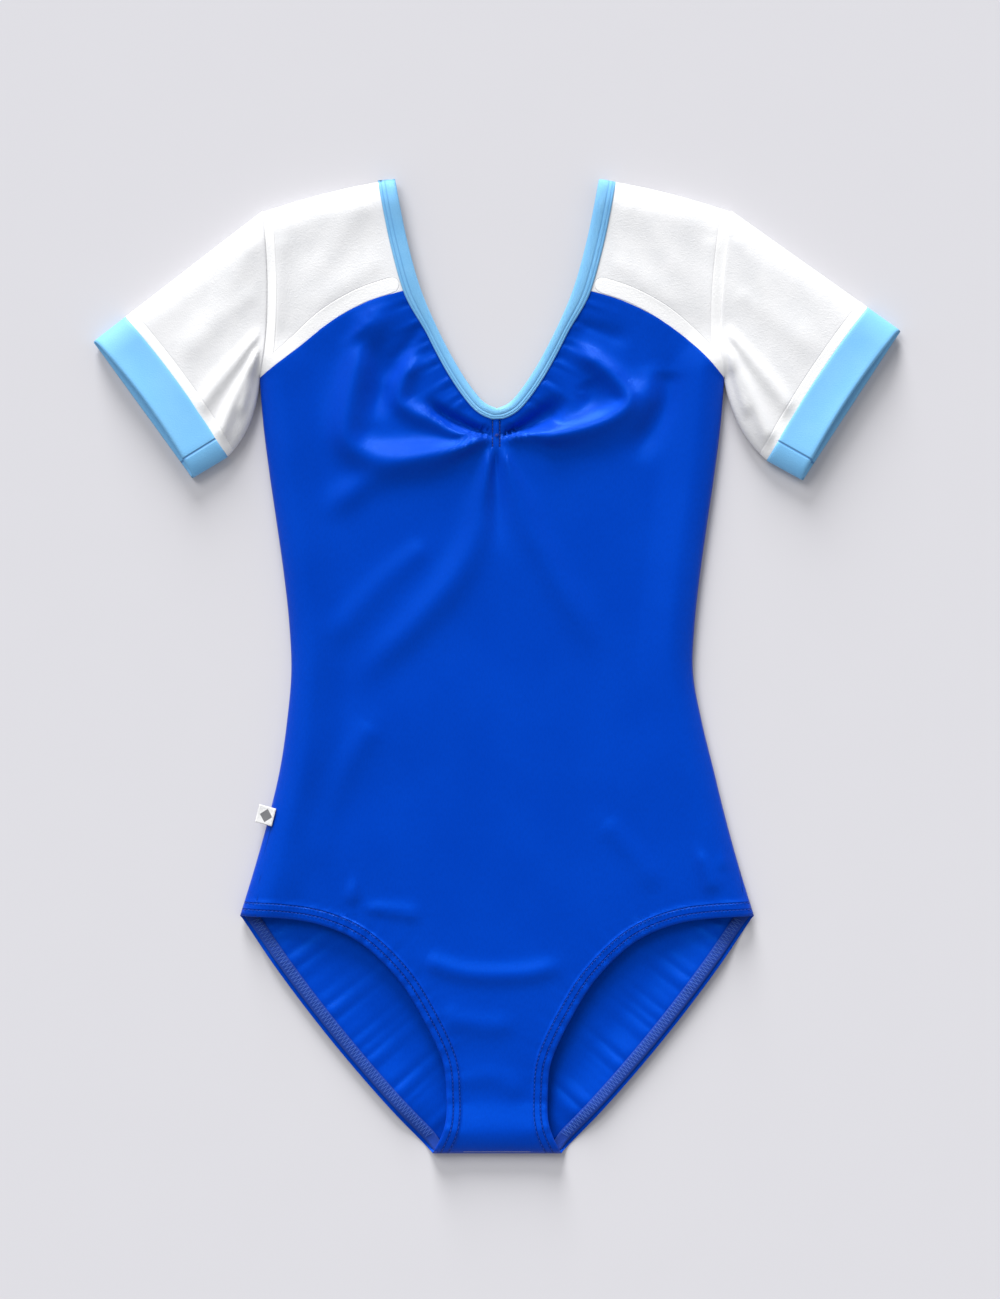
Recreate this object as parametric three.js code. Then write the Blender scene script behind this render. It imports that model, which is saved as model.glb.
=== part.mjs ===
// Short-sleeved gymnastics leotard, laid flat on its back.
// Frame: millimetres, X across the garment, Y from the crotch to the shoulders, Z up from the table.
// The origin is the middle of the garment's footprint, on the table.
// The garment is a flattened tube. Its front and back layers meet in a fold at the sides, shoulders,
// sleeve edges and crotch, and lie apart everywhere else, so every sheet is cut from one pillow surface.
import * as THREE from 'three';

// ---- Driving dimensions: lengths down the body ----
const BODY_LENGTH = 680;
const ARMHOLE_DEPTH = 139;
const SHOULDER_DROP = 23;
const WAIST_DROP = 335;
const LEG_DROP = 514;
const NECK_DEPTH_FRONT = 160.5;
const NECK_DEPTH_BACK = 262;
const YOKE_DROP = 74.5;
const LINING_DROP = 350;
const GUSSET_LENGTH = 72; // of the crotch lining, up each layer from the crotch fold

// ---- Driving dimensions: widths across the flat garment ----
const CHEST_WIDTH = 326;
const WAIST_WIDTH = 279.5;
const HIP_WIDTH = 359;
const SHOULDER_WIDTH = 329;
const NECK_WIDTH = 143;
const CROTCH_WIDTH = 90;
const CROTCH_NARROWEST = 71;
const SIDE_SWAY = 3.5; // the chest and waist lie this far to the -X side of the centre line

// ---- Driving dimensions: sleeves, as each one lies ----
// A sleeve hangs from the underarm, which is underarmAlong and underarmAcross from its own top corner.
const SLEEVES = {
  left: { side: -1, droop: 37.7, reach: 147, mouth: 117, flare: 3.5, underarmAlong: 72, underarmAcross: 91 },
  right: {
    side: 1,
    droop: 35.3,
    reach: 142.5,
    mouth: 124,
    flare: 4.5,
    underarmAlong: 62.4,
    underarmAcross: 97.9,
  },
};
const CUFF_WIDTH = 26;
const CUFF_TAPER = 3; // the sleeve is this much wider at the cuff seam than at the mouth
const CUFF_BOW = 3; // the cuff seam bows this far up the sleeve
const UNDERARM_BOW = 12;
const ARMHOLE_BOW = 4;
const ARMHOLE_BOW_AT = 0.55; // where the bow is deepest, as a share of the armhole from the shoulder
const UNDERARM_BOW_AT = 0.45; // and of the sleeve's lower edge from the underarm
const UNDERARM_BOW_OUT = 0.6; // how far that bow leans outwards, as a share of its depth

// ---- Driving dimensions: cloth, elastic and clearances ----
const LOFT = 12; // top of the front layer above the table
const FOLD_HEIGHT = 5; // height of the side folds above the table
const FRONT_ROUND = 16; // how far in from a fold the front layer reaches its full height
const BACK_ROUND = 8; // how far in from a fold the back layer reaches the table
const CLOTH = 0.8;
const CUFF_CLOTH = 1.6;
const LINING = 0.5;
const NECK_BAND = 11.3; // width of the neck binding from the shoulders round the back
const NECK_BAND_FRONT = 7.6; // and at the bottom of the front neckline, where it rolls
const BAND_THICK = 2.4;
const BAND_WALL = 0.45;
const ELASTIC = 0.5;
const ELASTIC_MARGIN = 0.9; // from the neck elastic's edges to its binding's edges
const LEG_ELASTIC_WIDTH = 8.5;
const HEM = 1; // from the leg edge to the leg elastic
const OVERLOCK_WIDTH = 8;
const OVERLOCK = 0.5;
const ALLOWANCE_START = 1.5; // from a seam to the near edge of its allowance, past the turn of the cloth
const YOKE_ALLOWANCE_STOP = 31; // the yoke's allowance ends this far from the underarm, where seams crowd
const SEAM_GAP = 0.5; // between two pieces sewn edge to edge
const LAYER_GAP = 0.3; // between two flat pieces lying one on the other
const ARMHOLE_SEAM_DEPTH = 0.35; // extra, where four layers of cloth meet at the underarm
const INNER_GAP = 0.6; // between the cloth, whose facets cut across its curve, and what lies inside it
const PINCH_WIDTH = 5.6;
const PINCH_LENGTH = 19;
const LABEL = { fromUnderarm: 308, height: 12.6, length: 14, leaf: 0.4, gap: 0.4, inset: 5 };

// ---- Spacing of the facets ----
const STEP = 25;
const YOKE_STEPS = 3;
const SLEEVE_STEPS = 5;
const CUFF_STEPS = 2;
const COLUMNS = [0, 0.36, 0.66, 0.86, 0.935, 0.97, 0.99, 1]; // across a panel, as shares of its half width
const LINING_COLUMNS = 4; // the front lining stops short of the side seam allowance
const FOLD_STEPS = [0, 1.2, 3.4, 7, 12]; // distances from a fold, where the cloth curves
const FINE = 48; // straight pieces in an outline

// ---- Places worked out from the dimensions ----
const TOP = BODY_LENGTH / 2;
const CROTCH_Y = -TOP;
const UNDERARM_Y = TOP - ARMHOLE_DEPTH;
const WAIST_Y = TOP - WAIST_DROP;
const LEG_Y = TOP - LEG_DROP;
const INSIDE = -(CLOTH + INNER_GAP); // outside of what lies against the inside of the cloth
const SIDES = ['left', 'right'];

const vec = (x, y) => new THREE.Vector2(x, y);
const mix = (a, b, t) => a + (b - a) * t;
const smooth = (low, high, v) => THREE.MathUtils.smoothstep(v, low, high);
const range = (count, make) => Array.from({ length: count }, (_, i) => make(i));

// ---- Lines in plan ----
// An outline is a chain of short straight pieces, so a point taken on a fold lies on it exactly.
function chain(curve, pieces = FINE) {
  const points = curve.getSpacedPoints(pieces);
  const path = new THREE.CurvePath();
  for (let i = 1; i <= pieces; i++) path.add(new THREE.LineCurve(points[i - 1], points[i]));
  path.corners = points;
  return path;
}
const spline = (points) => chain(new THREE.SplineCurve(points));
const bend = (start, middle, end) => chain(new THREE.QuadraticBezierCurve(start, middle, end));
const straight = (start, end) => chain(new THREE.LineCurve(start, end), 1);
const pointAt = (path, distance) => path.getPoint(THREE.MathUtils.clamp(distance / path.getLength(), 0, 1));
const pointsAt = (path, distances) => distances.map((d) => pointAt(path, d));

// Distances along a stretch: FOLD_STEPS from an end that lies on a fold, and even steps between.
function spacing(from, to, { foldStart = false, foldEnd = false, steps } = {}) {
  const near = foldStart ? FOLD_STEPS : [0];
  const far = foldEnd ? FOLD_STEPS : [0];
  const start = from + near.at(-1);
  const end = to - far.at(-1);
  const count = steps ?? Math.max(1, Math.round((end - start) / STEP));
  const middle = range(count - 1, (i) => mix(start, end, (i + 1) / count));
  return [...near.map((d) => from + d), ...middle, ...far.map((d) => to - d).reverse()];
}

// ---- Outlines of the torso ----
const sway = (y) => -SIDE_SWAY * smooth(WAIST_Y - 90, WAIST_Y, y) * (1 - smooth(UNDERARM_Y, TOP, y));

// Half the torso's width at height y, from the underarm to the hip.
function sideHalf(y) {
  if (y > WAIST_Y) {
    const t = (y - WAIST_Y) / (UNDERARM_Y - WAIST_Y);
    return mix(WAIST_WIDTH, CHEST_WIDTH, smooth(-0.08, 1.12, t)) / 2;
  }
  const t = (WAIST_Y - y) / (WAIST_Y - LEG_Y);
  return mix(WAIST_WIDTH, HIP_WIDTH, Math.pow(t, 1.45)) / 2;
}

function torsoOutlines(side) {
  const neck = NECK_WIDTH / 2;
  const at = (x, y) => vec(side * x, y);
  const atSide = (y) => vec(side * sideHalf(y) + sway(y), y);
  const neckPoint = at(neck, TOP);
  const shoulderPoint = at(SHOULDER_WIDTH / 2, TOP - SHOULDER_DROP);
  const underarm = atSide(UNDERARM_Y);
  const hip = atSide(LEG_Y);
  const crotch = at(CROTCH_WIDTH / 2, CROTCH_Y);
  const middle = shoulderPoint.clone().lerp(underarm, ARMHOLE_BOW_AT);
  const down = (depth, x, part) => at(neck * x, TOP - depth * part);
  return {
    shoulderPoint,
    underarm,
    crotch,
    neckFront: spline([
      neckPoint,
      down(NECK_DEPTH_FRONT, 0.88, 0.27),
      down(NECK_DEPTH_FRONT, 0.715, 0.52),
      down(NECK_DEPTH_FRONT, 0.43, 0.785),
      down(NECK_DEPTH_FRONT, 0.17, 0.955),
      at(0, TOP - NECK_DEPTH_FRONT),
    ]),
    neckBack: spline([
      neckPoint,
      down(NECK_DEPTH_BACK, 0.97, 0.25),
      down(NECK_DEPTH_BACK, 0.93, 0.5),
      down(NECK_DEPTH_BACK, 0.8, 0.74),
      down(NECK_DEPTH_BACK, 0.45, 0.94),
      at(0, TOP - NECK_DEPTH_BACK),
    ]),
    shoulder: bend(
      neckPoint,
      at(mix(neck, SHOULDER_WIDTH / 2, 0.45), TOP - SHOULDER_DROP * 0.25),
      shoulderPoint,
    ),
    armhole: bend(shoulderPoint, vec(middle.x - side * ARMHOLE_BOW * 2, middle.y), underarm),
    yokeSeam: spline([
      at(neck + 2, TOP - YOKE_DROP),
      at(mix(neck, CHEST_WIDTH / 2, 0.27), TOP - YOKE_DROP - 8),
      at(mix(neck, CHEST_WIDTH / 2, 0.53), TOP - YOKE_DROP - 22),
      at(mix(neck, CHEST_WIDTH / 2, 0.78), TOP - YOKE_DROP - 43),
      underarm,
    ]),
    sideSeam: spline(range(12, (i) => atSide(mix(UNDERARM_Y, LEG_Y, i / 11)))),
    legFront: spline([
      hip,
      at(HIP_WIDTH * 0.42, LEG_Y - 1.5),
      at(HIP_WIDTH * 0.34, LEG_Y - 6.5),
      at(HIP_WIDTH * 0.265, LEG_Y - 19),
      at(HIP_WIDTH * 0.195, LEG_Y - 43),
      at(HIP_WIDTH * 0.148, LEG_Y - 69),
      at(CROTCH_NARROWEST / 2 + 3, LEG_Y - 100),
      at(CROTCH_NARROWEST / 2, LEG_Y - 124),
      at(CROTCH_NARROWEST / 2 + 1, LEG_Y - 146),
      crotch,
    ]),
    legBack: bend(hip, at(mix(HIP_WIDTH, CROTCH_WIDTH, 0.5) / 2 + 8, mix(LEG_Y, CROTCH_Y, 0.5) - 7), crotch),
  };
}
const torso = { left: torsoOutlines(-1), right: torsoOutlines(1) };
const TORSO_MIDDLE = vec(0, 0);

// ---- Outlines of a sleeve and its cuff ----
function sleeveOutlines(name) {
  const { side, droop, reach, mouth, flare, underarmAlong, underarmAcross } = SLEEVES[name];
  const { shoulderPoint, underarm } = torso[name];
  const angle = THREE.MathUtils.degToRad(droop);
  // along runs down the sleeve's top edge, and across runs from there to its underarm edge
  const at = (along, across) => {
    const out = along - underarmAlong;
    const down = across - underarmAcross;
    return vec(
      underarm.x + side * (out * Math.cos(angle) - down * Math.sin(angle)),
      underarm.y - out * Math.sin(angle) - down * Math.cos(angle),
    );
  };
  const seamReach = reach - CUFF_WIDTH;
  const seamTop = at(seamReach, 0);
  const seamBottom = at(seamReach + flare, mouth + CUFF_TAPER);
  const bowed = underarm.clone().lerp(seamBottom, UNDERARM_BOW_AT);
  bowed.x -= side * UNDERARM_BOW * UNDERARM_BOW_OUT;
  bowed.y -= UNDERARM_BOW;
  return {
    top: straight(shoulderPoint, seamTop),
    bottom: bend(underarm, bowed, seamBottom),
    seam: bend(seamTop, at(seamReach + flare / 2 - 2 * CUFF_BOW, (mouth + CUFF_TAPER) / 2), seamBottom),
    cuffTop: straight(seamTop, at(reach, 0)),
    cuffBottom: straight(seamBottom, at(reach + flare, mouth)),
    mouth: straight(at(reach, 0), at(reach + flare, mouth)),
    middle: at(reach / 2, mouth / 2),
  };
}
const sleeves = { left: sleeveOutlines('left'), right: sleeveOutlines('right') };

// ---- The pillow surface ----
const crotchFold = straight(torso.left.crotch, torso.right.crotch);
const foldPaths = SIDES.flatMap((name) => {
  const { top, cuffTop, bottom, cuffBottom } = sleeves[name];
  return [torso[name].shoulder, torso[name].sideSeam, top, cuffTop, bottom, cuffBottom];
});
const foldPieces = [crotchFold, ...foldPaths].flatMap(({ corners }) =>
  corners.slice(1).map((end, i) => ({ start: corners[i], run: end.clone().sub(corners[i]) })),
);
const ON_FOLD = 0.01;

// How far a point is from the nearest fold, and the direction from the fold into the cloth.
function fromFold(point, middle) {
  let distance = Infinity;
  let away = null;
  for (const { start, run } of foldPieces) {
    const offset = point.clone().sub(start);
    const t = THREE.MathUtils.clamp(offset.dot(run) / run.lengthSq(), 0, 1);
    offset.addScaledVector(run, -t);
    if (offset.length() >= distance - ON_FOLD / 10) continue;
    distance = offset.length();
    away = offset;
    if (distance < ON_FOLD) {
      away = vec(-run.y, run.x);
      if (away.dot(middle.clone().sub(point)) < 0) away.negate();
    }
  }
  return { distance: distance < ON_FOLD ? 0 : distance, away: away.normalize() };
}

// A point of a layer and its outward normal, moved outwards by offset. halfGap keeps the edges of the
// front and back apart where they meet at a fold, and middle is a point well inside the piece.
function onLayer(layer, point, middle, offset = 0, halfGap = 0) {
  const { distance, away } = fromFold(point, middle);
  const front = layer === 'front';
  const round = front ? FRONT_ROUND : BACK_ROUND;
  const rise = (front ? LOFT - FOLD_HEIGHT : FOLD_HEIGHT) - halfGap;
  const cos = Math.max(0, 1 - distance / round);
  const sin = Math.sqrt(1 - cos * cos);
  const up = front ? 1 : -1;
  const normal = new THREE.Vector3(-away.x * rise * cos, -away.y * rise * cos, up * round * sin).normalize();
  const place = new THREE.Vector3(point.x, point.y, FOLD_HEIGHT + up * (halfGap + rise * sin));
  return { place: place.addScaledVector(normal, offset), normal };
}

// ---- Building blocks ----
function solid(points, triangles) {
  const geometry = new THREE.BufferGeometry();
  geometry.setAttribute('position', new THREE.Float32BufferAttribute(points.flatMap((p) => p.toArray()), 3));
  geometry.setIndex(triangles.flat());
  geometry.computeVertexNormals();
  return geometry;
}

const micron = (length) => Math.round(length * 1000);

// A closed sheet from grids of plan points, each { layer, rows }. Vertices that two grids share become
// one, so halves join at the centre line, and the layers of a sleeve join at its folds.
function sheet(grids, middle, outer, inner, halfGap) {
  const indices = new Map();
  const outside = [];
  const inside = [];
  const index = (layer, point) => {
    const onFold = halfGap === 0 && fromFold(point, middle).distance === 0;
    const key = [onFold ? 'fold' : layer, micron(point.x), micron(point.y)].join();
    if (!indices.has(key)) {
      indices.set(key, outside.length);
      outside.push(onLayer(layer, point, middle, outer, halfGap).place);
      inside.push(onLayer(layer, point, middle, inner, halfGap).place);
    }
    return indices.get(key);
  };
  const triangles = [];
  for (const { layer, rows } of grids) {
    const outerEdge = rows.slice(1).map((row) => row.at(-1));
    const outline = [...rows[0], ...outerEdge, ...[...rows.at(-1)].reverse(), rows[1][0]];
    const faceOut = THREE.ShapeUtils.area(outline) > 0 === (layer === 'front');
    for (let i = 1; i < rows.length; i++) {
      for (let j = 1; j < rows[i].length; j++) {
        const quad = [rows[i - 1][j - 1], rows[i - 1][j], rows[i][j], rows[i][j - 1]];
        const diagonal = quad[1].x + quad[0].x < 0 ? [[0, 1, 2], [0, 2, 3]] : [[0, 1, 3], [1, 2, 3]];
        for (const corners of diagonal) {
          const ids = corners.map((k) => index(layer, quad[k]));
          if (new Set(ids).size < 3) continue;
          triangles.push(faceOut ? ids : ids.reverse());
        }
      }
    }
  }
  const count = outside.length;
  const faces = [...triangles, ...triangles.map(([a, b, c]) => [a + count, c + count, b + count])];
  const edges = new Set(triangles.flatMap(([a, b, c]) => [`${a},${b}`, `${b},${c}`, `${c},${a}`]));
  for (const edge of edges) {
    const [a, b] = edge.split(',').map(Number);
    if (edges.has(`${b},${a}`)) continue;
    faces.push([b, a, a + count], [b, a + count, b + count]);
  }
  return solid([...outside, ...inside], faces);
}

// The frames of a strip that follows stops, each { layer, point }. out is the outward normal, and
// across points to the left of the run, seen from outside the garment.
function frames(stops, closed, middle) {
  const spots = stops.map(({ layer, point }) => onLayer(layer, point, middle));
  const last = spots.length - 1;
  return spots.map(({ place, normal }, i) => {
    const before = spots[i > 0 ? i - 1 : closed ? last : 0].place;
    const after = spots[i < last ? i + 1 : closed ? 0 : last].place;
    const along = after.clone().sub(before).normalize();
    const across = normal.clone().cross(along).normalize();
    return { place, across, out: along.cross(across).normalize() };
  });
}

// A solid strip. section(i) is its outline at stop i, as [across, out] pairs, anticlockwise.
function strip(spots, section, closed) {
  const size = section(0).length;
  const points = spots.flatMap(({ place, across, out }, i) =>
    section(i).map(([a, o]) => place.clone().addScaledVector(across, a).addScaledVector(out, o)),
  );
  const faces = [];
  const spans = closed ? spots.length : spots.length - 1;
  for (let i = 0; i < spans; i++) {
    for (let j = 0; j < size; j++) {
      const a = i * size + j;
      const b = i * size + ((j + 1) % size);
      const step = (((i + 1) % spots.length) - i) * size;
      faces.push([a, b, b + step], [a, b + step, a + step]);
    }
  }
  if (!closed) {
    const last = (spots.length - 1) * size;
    const cap = THREE.ShapeUtils.triangulateShape(section(0).map(([a, o]) => vec(a, o)), []);
    for (const [a, b, c] of cap) faces.push([c, b, a], [last + a, last + b, last + c]);
  }
  return solid(points, faces);
}

function flatSection(from, to, high, thick) {
  const low = high - thick;
  return () => [[from, low], [to, low], [to, high], [from, high]];
}
// The allowance of a seam that lies on a fold is a fin that points in from it.
const fin = flatSection(-OVERLOCK / 2, OVERLOCK / 2, INSIDE, OVERLOCK_WIDTH);

// The rows of a grid with the given edges. top and bottom are its first and last rows, and inner and
// outer hold the first and last point of each row.
function fill(top, bottom, inner, outer) {
  const runs = outer.map((p, i) => (i > 0 ? p.distanceTo(outer[i - 1]) : 0));
  const total = runs.reduce((sum, run) => sum + run);
  let done = 0;
  return inner.map((_, i) => {
    done += runs[i];
    const v = done / total;
    return top.map((_, j) => {
      const u = top[0].distanceTo(top[j]) / top[0].distanceTo(top.at(-1));
      const w = bottom[0].distanceTo(bottom[j]) / bottom[0].distanceTo(bottom.at(-1));
      const s = mix(u, w, v);
      const topOff = top[j].clone().sub(top[0].clone().lerp(top.at(-1), u));
      const bottomOff = bottom[j].clone().sub(bottom[0].clone().lerp(bottom.at(-1), w));
      return inner[i].clone().lerp(outer[i], s).addScaledVector(topOff, 1 - v).addScaledVector(bottomOff, v);
    });
  });
}

// Points spread along a line at the given shares of it, moved so that the ends land on start and end.
function fitted(path, shares, start, end) {
  const length = path.getLength();
  const points = shares.map((share) => pointAt(path, length * share));
  const shiftStart = start.clone().sub(points[0]);
  const shiftEnd = end.clone().sub(points.at(-1));
  return points.map((p, i) =>
    p.addScaledVector(shiftStart, 1 - shares[i]).addScaledVector(shiftEnd, shares[i]),
  );
}

// The rows of a ribbon whose edges lie from and to away from a line. It is on the left of the line's run
// if turn is 1, and on the right if it is -1. folds, if given, holds the directions of the folds at the
// line's two ends, and the rows near an end swing round towards its fold.
function ribbonRows(points, turn, from, to, folds = []) {
  const last = points.length - 1;
  const swing = FOLD_STEPS.length - 1;
  const towardsFold = (row) => 1 - (row / swing) ** 2;
  return points.map((p, i) => {
    const run = points[Math.min(i + 1, last)].clone().sub(points[Math.max(i - 1, 0)]);
    const across = vec(-run.y, run.x).normalize().multiplyScalar(turn);
    if (folds[0] && i < swing) across.lerp(folds[0], towardsFold(i)).normalize();
    if (folds[1] && last - i < swing) across.lerp(folds[1], towardsFold(last - i)).normalize();
    return [from, to].map((reach) => p.clone().addScaledVector(across, reach));
  });
}

// A closed ribbon that lies against the inside of both layers. It follows front and back, which share
// their ends, and crosses the folds there along startFold and endFold, which both run into the cloth.
function ring({ front, back, startFold, endFold, turn, middle, from, to, depth = 0 }) {
  const grids = [['front', front], ['back', back]].map(([layer, path]) => {
    const points = pointsAt(path, spacing(0, path.getLength(), { foldStart: true, foldEnd: true }));
    const folds = [startFold, endFold].map((fold) => fold(to).sub(fold(0)).normalize());
    const rows = ribbonRows(points, turn, from, to, folds);
    rows[0] = [startFold(from), startFold(to)];
    rows[rows.length - 1] = [endFold(from), endFold(to)];
    return { layer, rows };
  });
  return sheet(grids, middle, INSIDE - depth, INSIDE - depth - OVERLOCK, 0);
}
const fromStart = (path) => (distance) => pointAt(path, distance);
const fromEnd = (path) => (distance) => pointAt(path, path.getLength() - distance);

// ---- Stops round the neck ----
const onStops = (layer, points) => points.map((point) => ({ layer, point }));
const endToEnd = (first, second) => [...first.slice(0, -1), ...second.slice(0, -1)];

// Where the neckline passes the yoke seam.
function yokeCrossing(path) {
  const target = TOP - YOKE_DROP;
  const i = path.corners.findIndex((p) => p.y <= target);
  const [above, below] = [path.corners[i - 1], path.corners[i]];
  const part = (above.y - target) / (above.y - below.y);
  return (path.getLength() * (i - 1 + part)) / FINE;
}
const neckHalves = { front: {}, back: {} };
for (const name of SIDES) {
  for (const [layer, path] of [['front', torso[name].neckFront], ['back', torso[name].neckBack]]) {
    const crossing = yokeCrossing(path);
    const yoke = spacing(0, crossing, { foldStart: true, foldEnd: true, steps: YOKE_STEPS });
    const body = spacing(crossing, path.getLength());
    neckHalves[layer][name] = { points: pointsAt(path, [...yoke, ...body.slice(1)]), yokeCount: yoke.length };
  }
}
const neckLine = (layer, name) => onStops(layer, neckHalves[layer][name].points);
const neckStops = [
  ...endToEnd(neckLine('front', 'right'), neckLine('front', 'left').reverse()),
  ...endToEnd(neckLine('back', 'left'), neckLine('back', 'right').reverse()),
];
const neckFrames = frames(neckStops, true, TORSO_MIDDLE);
const NECK_NARROWING = 32; // the binding narrows over this length below the yoke seam
function neckWidth({ layer, point }) {
  if (layer === 'back') return NECK_BAND;
  const yokeY = TOP - YOKE_DROP;
  return mix(NECK_BAND_FRONT, NECK_BAND, smooth(yokeY - NECK_NARROWING, yokeY, point.y));
}

// The plan points where the cloth stops beside the neck binding.
function besideNeck(layer, name) {
  return neckHalves[layer][name].points.map((point) => {
    const i = neckStops.findIndex((stop) => stop.point.equals(point));
    const { place, across } = neckFrames[i];
    const reach = neckWidth({ layer, point }) + SEAM_GAP;
    return vec(place.x + across.x * reach, place.y + across.y * reach);
  });
}

const legPoints = (path) => pointsAt(path, spacing(0, path.getLength(), { foldStart: true, foldEnd: true }));

// ---- Sheets of the torso ----
function bodyGrid(layer, name) {
  const { sideSeam, yokeSeam, legFront, legBack } = torso[name];
  const legEdge = legPoints(layer === 'front' ? legFront : legBack);
  const side = pointsAt(sideSeam, spacing(SEAM_GAP / 2, sideSeam.getLength(), { foldStart: true }));
  const outer = [...side, ...legEdge.slice(1)];
  const neck = besideNeck(layer, name).slice(neckHalves[layer][name].yokeCount - 1);
  neck[0].y -= SEAM_GAP / 2;
  neck.at(-1).x = 0;
  const centreCount = side.length - neck.length;
  const centre = range(centreCount, (i) => vec(0, mix(neck.at(-1).y, LEG_Y, (i + 1) / centreCount)));
  const inner = [...neck, ...centre, ...legEdge.slice(1).map((p) => vec(0, p.y))];
  const top = fitted(yokeSeam, COLUMNS, inner[0], outer[0]);
  const bottom = COLUMNS.map((t) => inner.at(-1).clone().lerp(outer.at(-1), t));
  const liningRow = side.findIndex((p) => p.y < TOP - LINING_DROP);
  return { layer, rows: fill(top, bottom, inner, outer), liningRow };
}
function yokeGrid(layer, name) {
  const { side } = SLEEVES[name];
  const { shoulder, armhole, yokeSeam, underarm } = torso[name];
  const steps = spacing(0, armhole.getLength(), { foldStart: true, foldEnd: true, steps: YOKE_STEPS });
  const outer = pointsAt(armhole, steps).map((p) => vec(p.x - side * SEAM_GAP / 2, p.y));
  outer[0] = pointAt(shoulder, shoulder.getLength() - SEAM_GAP / 2);
  outer.at(-1).y += SEAM_GAP;
  const inner = besideNeck(layer, name).slice(0, neckHalves[layer][name].yokeCount);
  inner[0] = pointAt(shoulder, NECK_BAND + SEAM_GAP);
  inner.at(-1).y += SEAM_GAP / 2;
  const from = (NECK_BAND + SEAM_GAP) / shoulder.getLength();
  const to = 1 - SEAM_GAP / 2 / shoulder.getLength();
  const top = COLUMNS.map((t) => pointAt(shoulder, shoulder.getLength() * mix(from, to, t)));
  const bottom = fitted(yokeSeam, COLUMNS, inner.at(-1), outer.at(-1));
  return { layer, rows: fill(top, bottom, inner, outer) };
}
const bodyGrids = (layer) => SIDES.map((name) => bodyGrid(layer, name));
const panel = (layer) => sheet(bodyGrids(layer), TORSO_MIDDLE, 0, -CLOTH, SEAM_GAP / 2);
const yoke = (layer, name) => sheet([yokeGrid(layer, name)], TORSO_MIDDLE, 0, -CLOTH, SEAM_GAP / 2);

const LINING_INSIDE = INSIDE - OVERLOCK - INNER_GAP; // the lining passes under the pinch tape
function frontLining() {
  const grids = bodyGrids('front').map(({ layer, rows, liningRow }) => ({
    layer,
    rows: rows.slice(0, liningRow + 1).map((row) => row.slice(0, LINING_COLUMNS)),
  }));
  return sheet(grids, TORSO_MIDDLE, LINING_INSIDE, LINING_INSIDE - LINING, 0);
}
function gussetLining() {
  const half = CROTCH_NARROWEST / 2 - HEM - LEG_ELASTIC_WIDTH - SEAM_GAP;
  const rows = spacing(0, GUSSET_LENGTH, { foldStart: true }).map((d) =>
    [-half, 0, half].map((x) => vec(x, CROTCH_Y + d)),
  );
  const grids = ['front', 'back'].map((layer) => ({ layer, rows }));
  return sheet(grids, TORSO_MIDDLE, INSIDE, INSIDE - LINING, 0);
}

// ---- Bands and elastics ----
function neckBinding() {
  // a U that is open away from the neck, round the elastic
  const lip = ELASTIC_MARGIN - LAYER_GAP;
  const floor = BAND_WALL - BAND_THICK;
  const section = (i) => {
    const width = neckWidth(neckStops[i]);
    return [
      [0, -BAND_THICK],
      [width, -BAND_THICK],
      [width, floor],
      [lip, floor],
      [lip, -BAND_WALL],
      [width, -BAND_WALL],
      [width, 0],
      [0, 0],
    ];
  };
  return strip(neckFrames, section, true);
}
function neckElastic() {
  const high = -(BAND_THICK - ELASTIC) / 2;
  const section = (i) => {
    const width = neckWidth(neckStops[i]);
    return flatSection(ELASTIC_MARGIN, width - ELASTIC_MARGIN, high, ELASTIC)();
  };
  return strip(neckFrames, section, true);
}
function legElastic(name) {
  return ring({
    front: torso[name].legFront,
    back: torso[name].legBack,
    startFold: fromEnd(torso[name].sideSeam),
    endFold: name === 'left' ? fromStart(crotchFold) : fromEnd(crotchFold),
    turn: -SLEEVES[name].side,
    middle: TORSO_MIDDLE,
    from: HEM,
    to: HEM + LEG_ELASTIC_WIDTH,
  });
}
function pinchTape() {
  const top = TOP - NECK_DEPTH_FRONT - NECK_BAND_FRONT - SEAM_GAP;
  const stops = onStops('front', [vec(0, top), vec(0, top - PINCH_LENGTH)]);
  const section = flatSection(-PINCH_WIDTH / 2, PINCH_WIDTH / 2, INSIDE, OVERLOCK);
  return strip(frames(stops, false, TORSO_MIDDLE), section, false);
}

// ---- Seam allowances ----
const finAlong = (path, from, to, middle) =>
  strip(frames(onStops('front', pointsAt(path, spacing(from, to))), false, middle), fin, false);
const CLEAR = OVERLOCK_WIDTH + 2 * SEAM_GAP; // a fin stops this far from a seam that it would run into
const shoulderSeam = (name) => {
  const { shoulder } = torso[name];
  return finAlong(shoulder, NECK_BAND + SEAM_GAP, shoulder.getLength() - CLEAR, TORSO_MIDDLE);
};
const sideSeam = (name) => {
  const { sideSeam: path } = torso[name];
  return finAlong(path, CLEAR, path.getLength() - HEM - LEG_ELASTIC_WIDTH - 4 * SEAM_GAP, TORSO_MIDDLE);
};
const underarmSeam = (name) => {
  const { bottom, middle } = sleeves[name];
  return finAlong(bottom, SEAM_GAP * 2, bottom.getLength() - CLEAR - SEAM_GAP, middle);
};
function yokeSeamAllowance(layer, name) {
  const { yokeSeam, underarm } = torso[name];
  const start = besideNeck(layer, name)[neckHalves[layer][name].yokeCount - 1];
  const line = spline(fitted(yokeSeam, range(7, (i) => i / 6), start, underarm));
  const points = pointsAt(line, spacing(SEAM_GAP, line.getLength() - YOKE_ALLOWANCE_STOP));
  const rows = ribbonRows(points, SLEEVES[name].side, SEAM_GAP, SEAM_GAP + OVERLOCK_WIDTH);
  return sheet([{ layer, rows }], TORSO_MIDDLE, INSIDE, INSIDE - OVERLOCK, 0);
}
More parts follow.
